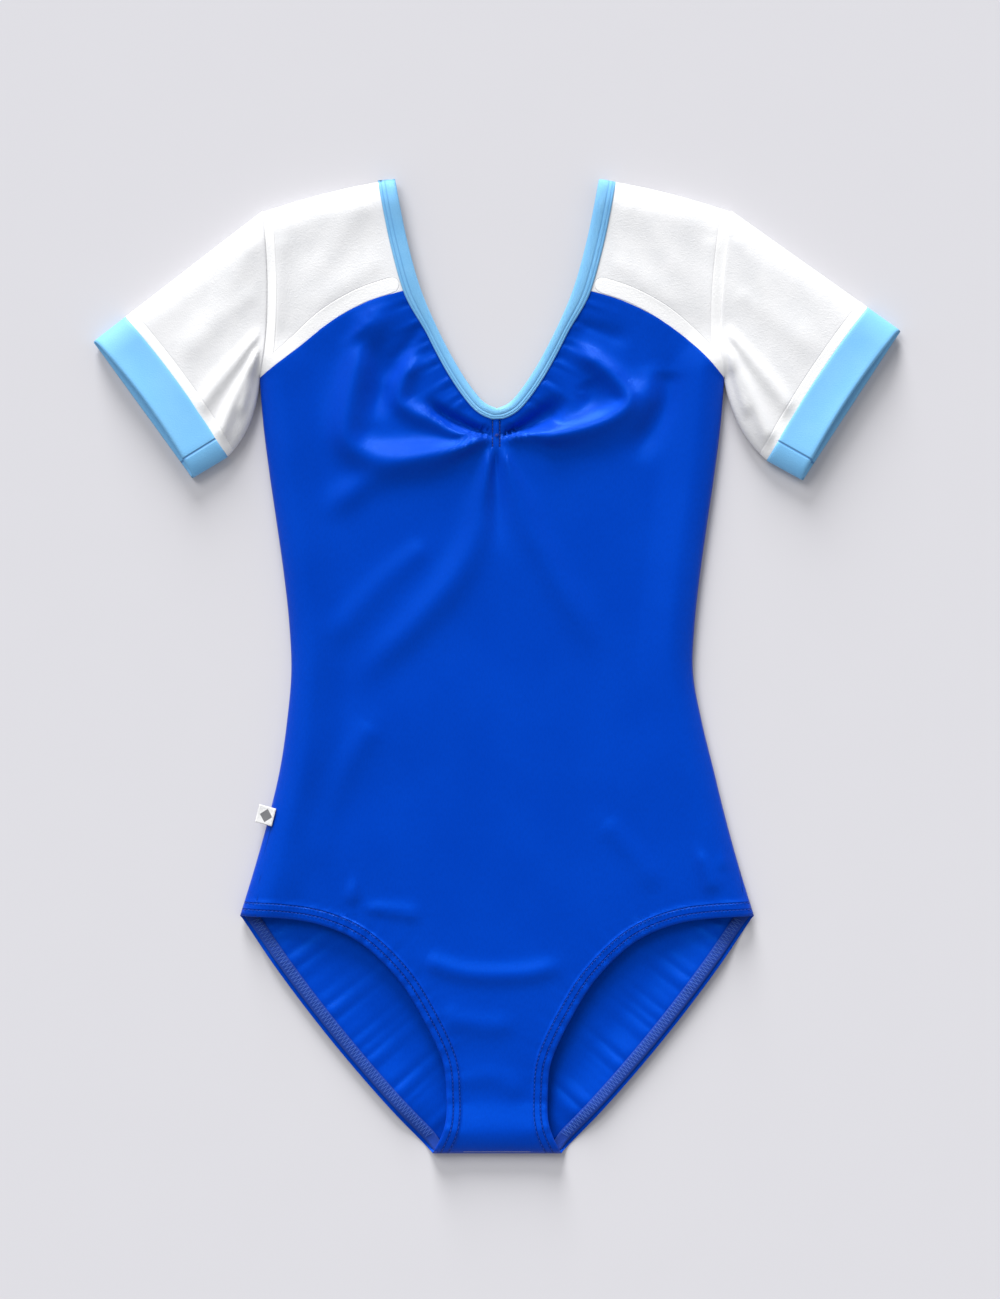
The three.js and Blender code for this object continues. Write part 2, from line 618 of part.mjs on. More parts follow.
const allowanceRing = (name, path, startFold, endFold, middle, depth) =>
  ring({
    front: path,
    back: path,
    startFold,
    endFold,
    turn: -SLEEVES[name].side,
    middle,
    from: ALLOWANCE_START,
    to: SEAM_GAP + OVERLOCK_WIDTH,
    depth,
  });
const armholeSeam = (name) => {
  const { armhole, shoulder, sideSeam: side } = torso[name];
  return allowanceRing(name, armhole, fromEnd(shoulder), fromStart(side), TORSO_MIDDLE, ARMHOLE_SEAM_DEPTH);
};
const cuffSeam = (name) => {
  const { seam, top, bottom, middle } = sleeves[name];
  return allowanceRing(name, seam, fromEnd(top), fromEnd(bottom), middle);
};

// ---- Sleeves and cuffs ----
// A flat tube from the outline first to the outline last, along the folds topPath and bottomPath.
function tube(first, last, topPath, bottomPath, startGap, endGap, steps, middle, cloth) {
  const topDistances = range(steps + 1, (i) => mix(startGap, topPath.getLength() - endGap, i / steps));
  const bottomDistances = range(steps + 1, (i) => mix(startGap, bottomPath.getLength() - endGap, i / steps));
  const inner = pointsAt(topPath, topDistances);
  const outer = pointsAt(bottomPath, bottomDistances);
  const edge = (path, start, end) => {
    const length = path.getLength();
    const stops = spacing(0, length, { foldStart: true, foldEnd: true, steps: SLEEVE_STEPS });
    return fitted(path, stops.map((d) => d / length), start, end);
  };
  const rows = fill(edge(first, inner[0], outer[0]), edge(last, inner.at(-1), outer.at(-1)), inner, outer);
  return sheet(['front', 'back'].map((layer) => ({ layer, rows })), middle, 0, -cloth, 0);
}
const sleeve = (name) => {
  const { top, bottom, seam, middle } = sleeves[name];
  return tube(torso[name].armhole, seam, top, bottom, SEAM_GAP, SEAM_GAP / 2, SLEEVE_STEPS, middle, CLOTH);
};
const cuff = (name) => {
  const { seam, mouth, cuffTop, cuffBottom, middle } = sleeves[name];
  return tube(seam, mouth, cuffTop, cuffBottom, SEAM_GAP / 2, 0, CUFF_STEPS, middle, CUFF_CLOTH);
};

// ---- Label ----
// It is sewn in at the left side and lies outwards over the fold, touching the cloth at its root.
function sideLabel() {
  const { fromUnderarm, height, length, leaf, gap, inset } = LABEL;
  const { sideSeam: path } = torso.left;
  const [lower, upper] = [fromUnderarm + height / 2, fromUnderarm - height / 2].map((d) => pointAt(path, d));
  const seamRun = upper.clone().sub(lower).normalize();
  const root = lower.clone().lerp(upper, 0.5).addScaledVector(vec(seamRun.y, -seamRun.x), inset);
  const { place, normal } = onLayer('front', root, TORSO_MIDDLE, LAYER_GAP);
  const along = new THREE.Vector3(seamRun.x, seamRun.y, 0);
  const across = normal.clone().cross(along).normalize();
  const spots = [-0.5, 0.5].map((t) => ({
    place: place.clone().addScaledVector(along, t * height),
    across,
    out: normal,
  }));
  // two leaves joined at the label's end
  const thick = 2 * leaf + gap;
  const section = [
    [0, 0],
    [length, 0],
    [length, thick],
    [0, thick],
    [0, thick - leaf],
    [length - leaf, thick - leaf],
    [length - leaf, leaf],
    [0, leaf],
  ];
  return strip(spots, () => section, false);
}

// ---- The assembly ----
const group = new THREE.Group();
function add(name, geometry, color, roughness) {
  const mesh = new THREE.Mesh(geometry, new THREE.MeshStandardMaterial({ color, roughness, metalness: 0 }));
  mesh.name = name;
  group.add(mesh);
}
const ROYAL_BLUE = 0x0a4bd7;
const SKY_BLUE = 0x8cd0ff;
const WHITE_MESH = 0xf3f3f3;
const WHITE = 0xffffff;

add('front_panel', panel('front'), ROYAL_BLUE, 0.42);
add('back_panel', panel('back'), ROYAL_BLUE, 0.42);
add('front_lining', frontLining(), WHITE, 0.8);
add('gusset_lining', gussetLining(), WHITE, 0.85);
add('neck_binding', neckBinding(), SKY_BLUE, 0.5);
add('neck_elastic', neckElastic(), WHITE, 0.7);
add('pinch_tape', pinchTape(), WHITE, 0.7);
add('side_label', sideLabel(), WHITE, 0.6);
for (const name of SIDES) {
  add(`${name}_front_yoke`, yoke('front', name), WHITE_MESH, 0.75);
  add(`${name}_back_yoke`, yoke('back', name), WHITE_MESH, 0.75);
  add(`${name}_sleeve`, sleeve(name), WHITE_MESH, 0.75);
  add(`${name}_cuff`, cuff(name), SKY_BLUE, 0.5);
  add(`${name}_leg_elastic`, legElastic(name), ROYAL_BLUE, 0.7);
  add(`${name}_side_seam`, sideSeam(name), ROYAL_BLUE, 0.8);
  add(`${name}_underarm_seam`, underarmSeam(name), WHITE, 0.8);
  add(`${name}_shoulder_seam`, shoulderSeam(name), WHITE, 0.8);
  add(`${name}_armhole_seam`, armholeSeam(name), WHITE, 0.8);
  add(`${name}_cuff_seam`, cuffSeam(name), WHITE, 0.8);
  add(`${name}_front_yoke_seam`, yokeSeamAllowance('front', name), WHITE, 0.8);
  add(`${name}_back_yoke_seam`, yokeSeamAllowance('back', name), WHITE, 0.8);
}

export default group;
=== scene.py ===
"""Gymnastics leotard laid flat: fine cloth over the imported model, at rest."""
import math

import bpy
import numpy as np
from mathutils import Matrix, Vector


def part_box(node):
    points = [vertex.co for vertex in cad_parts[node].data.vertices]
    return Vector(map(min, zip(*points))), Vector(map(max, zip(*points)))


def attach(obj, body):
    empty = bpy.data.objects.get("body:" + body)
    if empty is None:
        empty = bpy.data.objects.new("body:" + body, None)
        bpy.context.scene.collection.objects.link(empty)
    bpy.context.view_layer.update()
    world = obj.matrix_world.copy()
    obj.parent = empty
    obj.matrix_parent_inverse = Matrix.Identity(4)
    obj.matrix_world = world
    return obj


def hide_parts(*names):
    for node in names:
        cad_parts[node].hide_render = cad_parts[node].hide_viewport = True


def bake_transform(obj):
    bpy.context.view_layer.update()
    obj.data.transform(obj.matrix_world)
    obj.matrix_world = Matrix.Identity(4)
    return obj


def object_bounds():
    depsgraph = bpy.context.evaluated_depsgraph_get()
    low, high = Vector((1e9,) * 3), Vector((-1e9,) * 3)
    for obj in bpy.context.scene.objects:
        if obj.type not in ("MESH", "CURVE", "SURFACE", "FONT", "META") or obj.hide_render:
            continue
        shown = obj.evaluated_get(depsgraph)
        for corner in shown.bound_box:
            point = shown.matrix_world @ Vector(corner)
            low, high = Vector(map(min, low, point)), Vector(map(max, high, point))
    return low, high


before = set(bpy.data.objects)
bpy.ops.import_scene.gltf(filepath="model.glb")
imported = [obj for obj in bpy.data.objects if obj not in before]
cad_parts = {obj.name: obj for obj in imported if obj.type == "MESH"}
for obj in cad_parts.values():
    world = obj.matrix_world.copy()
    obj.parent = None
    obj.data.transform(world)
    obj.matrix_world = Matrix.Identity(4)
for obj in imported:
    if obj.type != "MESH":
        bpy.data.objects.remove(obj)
CAD_LOW, CAD_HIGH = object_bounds()
MM = 0.001
SIDES = {"left": -1, "right": 1}

# ---- Sizes, in millimetres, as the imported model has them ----
TOP = CAD_HIGH[1] / MM
CROTCH_Y = CAD_LOW[1] / MM
LOFT = CAD_HIGH[2] / MM
HIP_WIDTH = (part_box("back_panel")[1].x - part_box("back_panel")[0].x) / MM
ARMHOLE_DEPTH, SHOULDER_DROP, WAIST_DROP, LEG_DROP, YOKE_DROP = 139, 23, 335, 514, 74.5
NECK_DEPTH_FRONT, NECK_DEPTH_BACK = 160.5, 262
CHEST_WIDTH, WAIST_WIDTH, SHOULDER_WIDTH, NECK_WIDTH = 326, 279.5, 329, 143
CROTCH_WIDTH, CROTCH_NARROWEST, SIDE_SWAY = 90, 71, 3.5
SLEEVES = {
    "left": {"droop": 37.7, "reach": 147, "mouth": 117, "flare": 3.5},
    "right": {"droop": 35.3, "reach": 142.5, "mouth": 124, "flare": 4.5},
}
CUFF_WIDTH, CUFF_TAPER, CUFF_BOW, UNDERARM_BOW, ARMHOLE_BOW = 26, 3, 3, 12, 4
NECK_BAND, NECK_BAND_FRONT, NECK_NARROWING = 11.3, 7.6, 32
LEG_ELASTIC_WIDTH, HEM_WIDTH, ALLOWANCE = 8.5, 10.5, 8
LINING_DROP, GUSSET_LENGTH = 350, 72
PINCH_WIDTH, PINCH_LENGTH = 5.6, 19
UNDERARM_Y, WAIST_Y, LEG_Y = TOP - ARMHOLE_DEPTH, TOP - WAIST_DROP, TOP - LEG_DROP
PINCH = np.array([-0.5, 161.0])
PINCH_ROWS = (-2.6, 2.4)  # where its two stitched grooves run, across from its middle

# ---- How the cloth lies ----
FOLD_HEIGHT = 5.0
FRONT_ROUND, BACK_ROUND = 19.0, 9.0
FRONT_LOWEST = 2.2  # a crease of the front goes no nearer the table than this
SIDE_ROLL = 3.2  # how far the middle of the front sinks below the roll along its folds
CLOTH, MESH_CLOTH, CUFF_CLOTH, BINDING_CLOTH = 0.6, 0.5, 1.1, 0.45
BAND_CLOTH, TAPE_CLOTH = 0.4, 0.35  # of elastics and the front lining, and of thinner strips
GRID = 2.3  # spacing of the vertices of a panel


def smooth(low, high, value):
    t = np.clip((value - low) / (high - low), 0, 1)
    return t * t * (3 - 2 * t)


def mix(a, b, t):
    return a + (b - a) * t


# ---- Lines in plan ----
class Path:
    """A line in plan as close points, read by its distance from the start."""

    def __init__(self, points):
        self.points = np.asarray(points, float)
        steps = np.hypot(*np.diff(self.points, axis=0).T)
        self.run = np.concatenate([[0], np.cumsum(steps)])
        self.length = self.run[-1]

    def at(self, distances):
        d = np.clip(distances, 0, self.length)
        return np.stack([np.interp(d, self.run, self.points[:, k]) for k in (0, 1)], -1)

    def even(self, count):
        return self.at(np.linspace(0, self.length, count))

    def tangents(self, distances):
        d = np.asarray(distances, float)
        run = self.at(d + 0.5) - self.at(d - 0.5)
        return run / np.linalg.norm(run, axis=1, keepdims=True)

    def normals(self, distances):
        """Unit vectors square to the line, on its left."""
        run = self.tangents(distances)
        return np.stack([-run[:, 1], run[:, 0]], -1)


def spline(points, count=160):
    """A smooth curve through the points."""
    p = np.asarray(points, float)
    padded = np.vstack([p[:1], p, p[-1:]])
    spans = len(p) - 1
    u = np.linspace(0, spans, count)
    i = np.minimum(u.astype(int), spans - 1)
    t = (u - i)[:, None]
    a, b, c, d = (padded[i + k] for k in range(4))
    v0, v1 = (c - a) / 2, (d - b) / 2
    return Path((2 * b - 2 * c + v0 + v1) * t**3 + (-3 * b + 3 * c - 2 * v0 - v1) * t**2 + v0 * t + b)


def bend(start, middle, end, count=80):
    t = np.linspace(0, 1, count)[:, None]
    a, b, c = (np.asarray(p, float) for p in (start, middle, end))
    return Path(a * (1 - t) ** 2 + 2 * b * t * (1 - t) + c * t**2)


def straight(start, end):
    return Path([start, end])


# ---- Outlines of the torso ----
def sway(y):
    return -SIDE_SWAY * smooth(WAIST_Y - 90, WAIST_Y, y) * (1 - smooth(UNDERARM_Y, TOP, y))


def side_half(y):
    up = (y - WAIST_Y) / (UNDERARM_Y - WAIST_Y)
    down = max((WAIST_Y - y) / (WAIST_Y - LEG_Y), 0)
    if y > WAIST_Y:
        return mix(WAIST_WIDTH, CHEST_WIDTH, smooth(-0.08, 1.12, up)) / 2
    return mix(WAIST_WIDTH, HIP_WIDTH, down**1.45) / 2


def torso_outlines(side):
    neck = NECK_WIDTH / 2

    def at(x, y):
        return np.array([side * x, y])

    def at_side(y):
        return np.array([side * side_half(y) + sway(y), y])

    def down(depth, x, part):
        return at(neck * x, TOP - depth * part)

    neck_point, shoulder_point = at(neck, TOP), at(SHOULDER_WIDTH / 2, TOP - SHOULDER_DROP)
    underarm, hip, crotch = at_side(UNDERARM_Y), at_side(LEG_Y), at(CROTCH_WIDTH / 2, CROTCH_Y)
    middle = mix(shoulder_point, underarm, 0.55)
    front, back, chest = NECK_DEPTH_FRONT, NECK_DEPTH_BACK, CHEST_WIDTH / 2
    return {
        "underarm": underarm,
        "shoulder_point": shoulder_point,
        "neck_front": spline([neck_point, down(front, 0.88, 0.27), down(front, 0.715, 0.52),
                              down(front, 0.43, 0.785), down(front, 0.17, 0.955), at(0, TOP - front)]),
        "neck_back": spline([neck_point, down(back, 0.97, 0.25), down(back, 0.93, 0.5),
                             down(back, 0.8, 0.74), down(back, 0.45, 0.94), at(0, TOP - back)]),
        "shoulder": bend(neck_point, at(mix(neck, SHOULDER_WIDTH / 2, 0.45), TOP - SHOULDER_DROP * 0.25),
                         shoulder_point),
        "armhole": bend(shoulder_point, middle - [side * ARMHOLE_BOW * 2, 0], underarm),
        "yoke_seam": spline([at(neck + 2, TOP - YOKE_DROP)]
                            + [at(mix(neck, chest, part), TOP - YOKE_DROP - drop)
                               for part, drop in ((0.27, 8), (0.53, 22), (0.78, 43))] + [underarm]),
        "side_seam": spline([at_side(y) for y in np.linspace(UNDERARM_Y, LEG_Y, 12)]),
        "leg_front": spline([hip] + [at(HIP_WIDTH * x, LEG_Y - drop) for x, drop in
                                     ((0.42, 1.5), (0.34, 6.5), (0.265, 19), (0.195, 43), (0.148, 69))]
                            + [at(CROTCH_NARROWEST / 2 + x, LEG_Y - drop) for x, drop in
                               ((3, 100), (0, 124), (1, 146))] + [crotch]),
        "leg_back": bend(hip, at((HIP_WIDTH + CROTCH_WIDTH) / 4 + 8, mix(LEG_Y, CROTCH_Y, 0.5) - 7), crotch),
    }


TORSO = {name: torso_outlines(side) for name, side in SIDES.items()}
CROTCH_FOLD = straight(*(TORSO[name]["leg_back"].points[-1] for name in SIDES))


def sleeve_outlines(name):
    cut = SLEEVES[name]
    side, angle = SIDES[name], math.radians(cut["droop"])
    shoulder_point, underarm = TORSO[name]["shoulder_point"], TORSO[name]["underarm"]
    down_edge = np.array([side * math.cos(angle), -math.sin(angle)])
    across_edge = np.array([-side * math.sin(angle), -math.cos(angle)])

    def at(along, across):
        return shoulder_point + along * down_edge + across * across_edge

    seam_reach, flare, width = cut["reach"] - CUFF_WIDTH, cut["flare"], cut["mouth"] + CUFF_TAPER
    seam_top, seam_bottom = at(seam_reach, 0), at(seam_reach + flare, width)
    halfway = mix(underarm, seam_bottom, 0.45)
    mouth_top, mouth_bottom = at(cut["reach"], 0), at(cut["reach"] + flare, cut["mouth"])
    return {
        "top": straight(shoulder_point, seam_top),
        "bottom": bend(underarm, halfway - [side * UNDERARM_BOW * 0.6, UNDERARM_BOW], seam_bottom),
        "seam": bend(seam_top, at(seam_reach + flare / 2 - 2 * CUFF_BOW, width / 2), seam_bottom),
        "cuff_top": straight(seam_top, mouth_top),
        "cuff_bottom": straight(seam_bottom, mouth_bottom),
        "mouth": straight(mouth_top, mouth_bottom),
        "outwards": down_edge,
    }


SLEEVE = {name: sleeve_outlines(name) for name in SIDES}

# ---- Distance from the folds ----
FOLDS = [CROTCH_FOLD] + [TORSO[n][k] for n in SIDES for k in ("shoulder", "side_seam")]
FOLDS += [SLEEVE[n][k] for n in SIDES for k in ("top", "cuff_top", "bottom", "cuff_bottom")]


def distance_to(paths, points, step=4.0):
    """How far each plan point is from the nearest of the paths."""
    p = points.reshape(-1, 2)
    best = np.full(len(p), np.inf)
    for path in paths:
        line = path.even(max(2, int(path.length / step) + 1))
        for a, b in zip(line[:-1], line[1:]):
            run = b - a
            t = np.clip(((p - a) @ run) / (run @ run), 0, 1)
            best = np.minimum(best, np.hypot(*(p - a - t[:, None] * run).T))
    return best.reshape(points.shape[:-1])


def dome(distance, radius):
    """A quarter circle that rises from a fold, from 0 to 1."""
    return np.sqrt(np.clip(1 - np.clip(1 - distance / radius, 0, 1) ** 2, 0, 1))


# ---- Folds of the front, as crests drawn from the centre pinch outwards ----
# Each is (points, height, half width near the pinch, half width at the far end, fade length at the far end).
FOLD_STRENGTH = 1.55
CRESTS = [
    # the left bust: an outer and an inner roll that curl up to the neckline
    ([(-7, 159), (-33, 150), (-68, 145), (-92, 148), (-104, 160), (-103, 182), (-97, 208), (-88, 236),
      (-63, 252)],
     3.4, 2.4, 10.5, 40),
    ([(-8, 160), (-30, 163), (-44, 171), (-60, 178), (-68, 187), (-64, 203), (-51, 219)], 2.6, 1.6, 6.5, 18),
    # the right bust: one leaf-shaped roll, and the slope outside it
    ([(6, 160), (37, 162), (65, 168), (84, 177), (91, 187), (81, 202), (62, 217), (50, 225)], 3.2, 2.2, 7,
     22),
    ([(30, 158), (70, 163), (96, 176), (106, 196), (104, 214)], 2.4, 5, 11, 30),
    # long folds that fan down from the pinch
    ([(-12, 156), (-45, 146), (-82, 134), (-108, 116), (-121, 98)], 1.5, 3, 10, 30),
    ([(-6, 150), (-11, 102), (-28, 64), (-56, 31), (-84, 3), (-104, -22)], 1.5, 2.2, 11, 60),
    ([(5, 150), (20, 104), (37, 70), (58, 30), (71, 0)], 1.5, 2.2, 10, 60),
    ([(-50, 84), (-80, 58), (-104, 32), (-121, 12)], 0.8, 8, 10, 25),
    # the lower front
    ([(-86, -40), (-106, -72), (-121, -112), (-126, -150)], 0.7, 9, 10, 30),
    ([(74, -108), (98, -134), (112, -160)], 0.7, 8, 8, 18),
    ([(-50, -205), (-20, -214), (20, -214), (52, -206)], 1.2, 7, 7, 25),
    ([(-38, -244), (-10, -250), (18, -250)], 0.8, 8, 8, 18),
    ([(-34, -292), (-4, -286), (22, -300)], 0.6, 8, 8, 14),
    # small folds where the hips pull at the hems and at the right side
    ([(-100, -148), (-101, -168)], 0.9, 3.5, 5, 8),
    ([(-92, -168), (-66, -171), (-50, -176)], 0.8, 4, 6, 12),
    ([(140, -128), (147, -146), (152, -160)], 0.9, 4, 6, 10),
    ([(158, -128), (160, -144)], 0.7, 4, 5, 8),
]
# Creases are the same, cut in: the two pockets beside the pinch, and the gather that runs down from it.
CREASES = [
    ([(-4, 161.5), (-23, 169), (-40, 177.5), (-50, 188)], 4.4, 2.0, 3.6, 18),
    ([(3, 161.5), (20, 168.5), (37, 178), (50, 190)], 4.9, 2.0, 6.5, 22),
    ([(-98, 232), (-84, 214), (-82, 190), (-88, 168)], 2.2, 10, 9, 26),
    ([(-54, 234), (-70, 214), (-76, 196)], 1.2, 4, 6, 14),
    ([(62, 200), (66, 188), (52, 182)], 1.8, 9, 9, 16),
    ([(-0.5, 150), (-1, 114), (0, 76)], 1.7, 1.6, 7, 40),
    ([(118, 206), (116, 184), (104, 160), (96, 140)], 1.6, 9, 9, 26),
    ([(56, 238), (76, 232), (96, 226)], 0.9, 4, 7, 16),
]


def crest(points, path_points, height, near, far, fade):
    path = spline(path_points, 40)
    flat = points.reshape(-1, 2)
    best = np.full(len(flat), np.inf)
    along = np.zeros(len(flat))
    for k in range(len(path.points) - 1):
        a, run = path.points[k], path.points[k + 1] - path.points[k]
        t = np.clip(((flat - a) @ run) / (run @ run), 0, 1)
        d = np.hypot(*(flat - a - t[:, None] * run).T)
        closer = d < best
        best = np.where(closer, d, best)
        along = np.where(closer, path.run[k] + t * math.hypot(*run), along)
    width = near + (far - near) * smooth(0, min(45, path.length * 0.7), along)
    strength = smooth(-4, 8, along) * (1 - smooth(path.length - fade, path.length, along))
    return (height * strength * np.exp(-((best / width) ** 2))).reshape(points.shape[:-1])


def puckers(points, path, start, end, spacing, height, reach, seed):
    """Short folds that stand square to a seam, between two distances along it."""
    flat = points.reshape(-1, 2)
    line = path.even(max(8, int(path.length / 3)))
    stations = np.linspace(0, path.length, len(line))
    gaps = np.hypot(flat[:, None, 0] - line[None, :, 0], flat[:, None, 1] - line[None, :, 1])
    nearest = gaps.argmin(1)
    distance = gaps[np.arange(len(flat)), nearest]
    # the station between two line points, so that the folds run smoothly
    tangent = path.tangents(stations)[nearest]
    along = stations[nearest] + ((flat - line[nearest]) * tangent).sum(1)
    waves = np.random.default_rng(seed)
    phases = waves.uniform(0, 2 * math.pi, 3)
    wave = sum(np.sin(2 * math.pi * along / (spacing * scale) + phase) * part
               for scale, phase, part in zip((1, 0.62, 1.73), phases, (0.5, 0.3, 0.4)))
    window = smooth(start, start + 8, along) * (1 - smooth(end - 8, end, along))
    return (height * wave * window * np.exp(-distance / reach)).reshape(points.shape[:-1])


def broad_waves(points, seed, length, height):
    """Slow undulation of cloth that lies loosely."""
    waves = np.random.default_rng(seed)
    total = np.zeros(points.shape[:-1])
    for _ in range(5):
        angle = waves.uniform(0, math.pi)
        size = length * waves.uniform(0.7, 1.6)
        phase = waves.uniform(0, 2 * math.pi)
        along = points[..., 0] * math.cos(angle) + points[..., 1] * math.sin(angle)
        total += np.sin(along * 2 * math.pi / size + phase)
    return height * total / 5


def hem_profile(distance):
    """A turned hem: doubled cloth that ends in a step, and an edge that rounds down to the fold."""
    doubled = 0.7 * (1 - smooth(HEM_WIDTH - 1.0, HEM_WIDTH + 1.2, distance))
    return doubled - 1.3 * (1 - dome(distance, 2.6))


HEM_STITCHES = (4.9, 9.6)
LEG_LIFT = 4.2  # the elastic holds the back of the leg openings this far off the table
YOKE_SEAMS = [TORSO[n]["yoke_seam"] for n in SIDES]
LEG_FRONTS = [TORSO[n]["leg_front"] for n in SIDES]
LEG_BACKS = [TORSO[n]["leg_back"] for n in SIDES]
NECK_FRONTS = [TORSO[n]["neck_front"] for n in SIDES]


def front_height(points, body=True):
    """Height of the outside of the front layer."""
    d = distance_to(FOLDS, points)
    z = FOLD_HEIGHT + (LOFT - FOLD_HEIGHT) * dome(d, FRONT_ROUND)
    below_yoke = 1 - smooth(UNDERARM_Y + 10, UNDERARM_Y + 70, points[..., 1])
    z -= SIDE_ROLL * smooth(13, 42, d) * mix(0.3, 1, below_yoke) * (1 - smooth(150, 185, np.abs(points[..., 0])))
    z += broad_waves(points, 11, 70, 0.5) * smooth(4, 22, d)
    if not body:
        return z
    level = z.copy()
    inner = smooth(1, 16, d)
    for folds, sign in ((CRESTS, 1), (CREASES, -1)):
        for path, height, near, far, fade in folds:
            z += sign * inner * crest(points, path, height * FOLD_STRENGTH, near, far, fade)
    from_neck = distance_to(NECK_FRONTS, points, 4)
    z = mix(level, z, smooth(NECK_BAND_FRONT - 3, NECK_BAND_FRONT + 3, from_neck))
    for n, name in enumerate(SIDES):
        pull = smooth(NECK_BAND_FRONT, NECK_BAND_FRONT + 3, from_neck) * inner
        z += pull * puckers(points, TORSO[name]["neck_front"], 78, 172, 9, 1.9, 11, 30 + n)
        z += inner * puckers(points, TORSO[name]["leg_front"], 60, 250, 11, 0.55, 9, 40 + n)
        z += inner * puckers(points, TORSO[name]["yoke_seam"], 5, 90, 13, 0.3, 8, 50 + n)
    z += broad_waves(points, 3, 120, 0.55) * smooth(6, 30, d)
    z = mix(level, z, smooth(0, 13, distance_to(YOKE_SEAMS, points, 6)))
    z += smooth(0, 6, d + 3) * hem_profile(distance_to(LEG_FRONTS, points, 3))
    # the gathers over the pinch tape: two stitched grooves and a tack
    x, y = (points - PINCH)[..., 0], points[..., 1]
    held = smooth(151, 154, y) * (1 - smooth(171, 173, y))
    z -= held * sum(0.9 * np.exp(-(((x - s) / 1.1) ** 2)) for s in PINCH_ROWS)
    z += held * 0.5 * np.exp(-((x / 1.6) ** 2))
    return np.maximum(z, FRONT_LOWEST)


def back_height(points):
    """Height of the outside of the back layer, which lies on the table."""
    d = distance_to(FOLDS, points)
    z = FOLD_HEIGHT * (1 - dome(d, BACK_ROUND))
    waves = np.zeros(points.shape[:-1])
    for n, name in enumerate(SIDES):
        leg = TORSO[name]["leg_back"]
        waves += np.abs(puckers(points, leg, 10, leg.length - 8, 24, 1.5, 34, 60 + n))
        waves += np.abs(puckers(points, leg, 10, leg.length - 8, 8, 0.5, 9, 70 + n))
    seen = 1 - smooth(LEG_Y + 10, LEG_Y + 60, points[..., 1])
    from_leg = distance_to(LEG_BACKS, points)
    lift = LEG_LIFT * (1 - smooth(0, 36, from_leg)) * smooth(8, 44, d)
    return z + lift + waves * seen * smooth(3, 18, d) * smooth(4, 16, from_leg)


# ---- Building meshes. Plan points and heights are in millimetres, and the meshes in metres. ----
def add_mesh(name, points, faces, material, body, plan=None, marks=None):
    """A mesh object. plan is its cloth coordinates in millimetres, and marks are values its material
    reads."""
    mesh = bpy.data.meshes.new(name)
    mesh.from_pydata((np.asarray(points) * MM).tolist(), [], [list(map(int, f)) for f in faces])
    mesh.polygons.foreach_set("use_smooth", [True] * len(mesh.polygons))
    plan = np.asarray(points)[:, :2] if plan is None else np.asarray(plan)
    layer = mesh.attributes.new("cloth", "FLOAT_VECTOR", "POINT")
    layer.data.foreach_set("vector", np.c_[plan, np.zeros(len(plan))].astype(np.float32).ravel())
    for key, values in (marks or {}).items():
        layer = mesh.attributes.new(key, "FLOAT", "POINT")
        layer.data.foreach_set("value", np.asarray(values, np.float32).ravel())
    mesh.materials.append(material)
    obj = bpy.data.objects.new(name, mesh)
    bpy.context.scene.collection.objects.link(obj)
    place_on(obj, body)
    return obj


def place_on(obj, body):
    """An arm's cloth stays where it lies, with its transform baked in, and everything else rides on its body."""
    if body.startswith("bend_"):
        name = body[5:]
        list(arm_bend(name))
        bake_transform(obj)
    else:
        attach(obj, body)


def arm_bend(name):
    """Two points across the middle of the armhole, 4 mm inside it and 22 mm outside it, at the loft's height."""
    middle = TORSO[name]["armhole"].at(TORSO[name]["armhole"].length / 2)
    out = np.array([SIDES[name], 0.0])
    return [(*(middle + out * d) * MM, LOFT * MM) for d in (-4, 22)]


def grid_faces(rows, cols, closed_rows=False, closed_cols=False, flip=False):
    i = np.arange(rows if closed_rows else rows - 1)
    j = np.arange(cols if closed_cols else cols - 1)
    ii, jj = (a.ravel() for a in np.meshgrid(i, j, indexing="ij"))
    a, b = ii * cols + jj, ii * cols + (jj + 1) % cols
    c, d = ((ii + 1) % rows) * cols + (jj + 1) % cols, ((ii + 1) % rows) * cols + jj
    faces = np.stack([a, b, c, d], 1)
    return faces[:, ::-1] if flip else faces


def joined_halves(left, right, flip):
    """The points and faces of two half grids that share their first column wherever it is on the centre
    line."""
    rows, cols = left.shape[:2]
    right_ids = np.arange(rows * cols).reshape(rows, cols)
    left_ids = right_ids + rows * cols
    on_centre = np.abs(left[:, 0, 0]) + np.abs(right[:, 0, 0]) < 1e-6
    left_ids[on_centre, 0] = right_ids[on_centre, 0]
    faces = []
    for ids, turn in ((right_ids, flip), (left_ids, not flip)):
        quads = np.stack([ids[:-1, :-1], ids[:-1, 1:], ids[1:, 1:], ids[1:, :-1]], -1).reshape(-1, 4)
        faces.append(quads[:, ::-1] if turn else quads)
    return np.concatenate([right.reshape(-1, 2), left.reshape(-1, 2)]), np.concatenate(faces)


TUCK, TUCK_DEPTH = 1.6, 0.5


def tucked(plan, z, step, sign):
    """The grid with one more row before its first, tucked under the piece that it is sewn to."""
    return np.concatenate([plan[:1] + step, plan]), np.concatenate([z[:1] - TUCK_DEPTH * sign, z])


def thicken(obj, thickness, inwards=True):
    skin = obj.modifiers.new("thickness", "SOLIDIFY")
    skin.thickness = thickness * MM
    skin.offset = -1 if inwards else 1
    skin.use_even_offset = False
    return obj


def add_sheet(name, plan, z, material, body, thickness, cloth=None, marks=None, inwards=True, **grid):
    """A sheet of cloth from a grid of plan points and heights, with its thickness."""
    points = np.dstack([plan, z]).reshape(-1, 3)
    cloth = (plan if cloth is None else cloth).reshape(-1, 2)
    obj = add_mesh(name, points, grid_faces(*z.shape, **grid), material, body, cloth, marks)
    return thicken(obj, thickness, inwards)


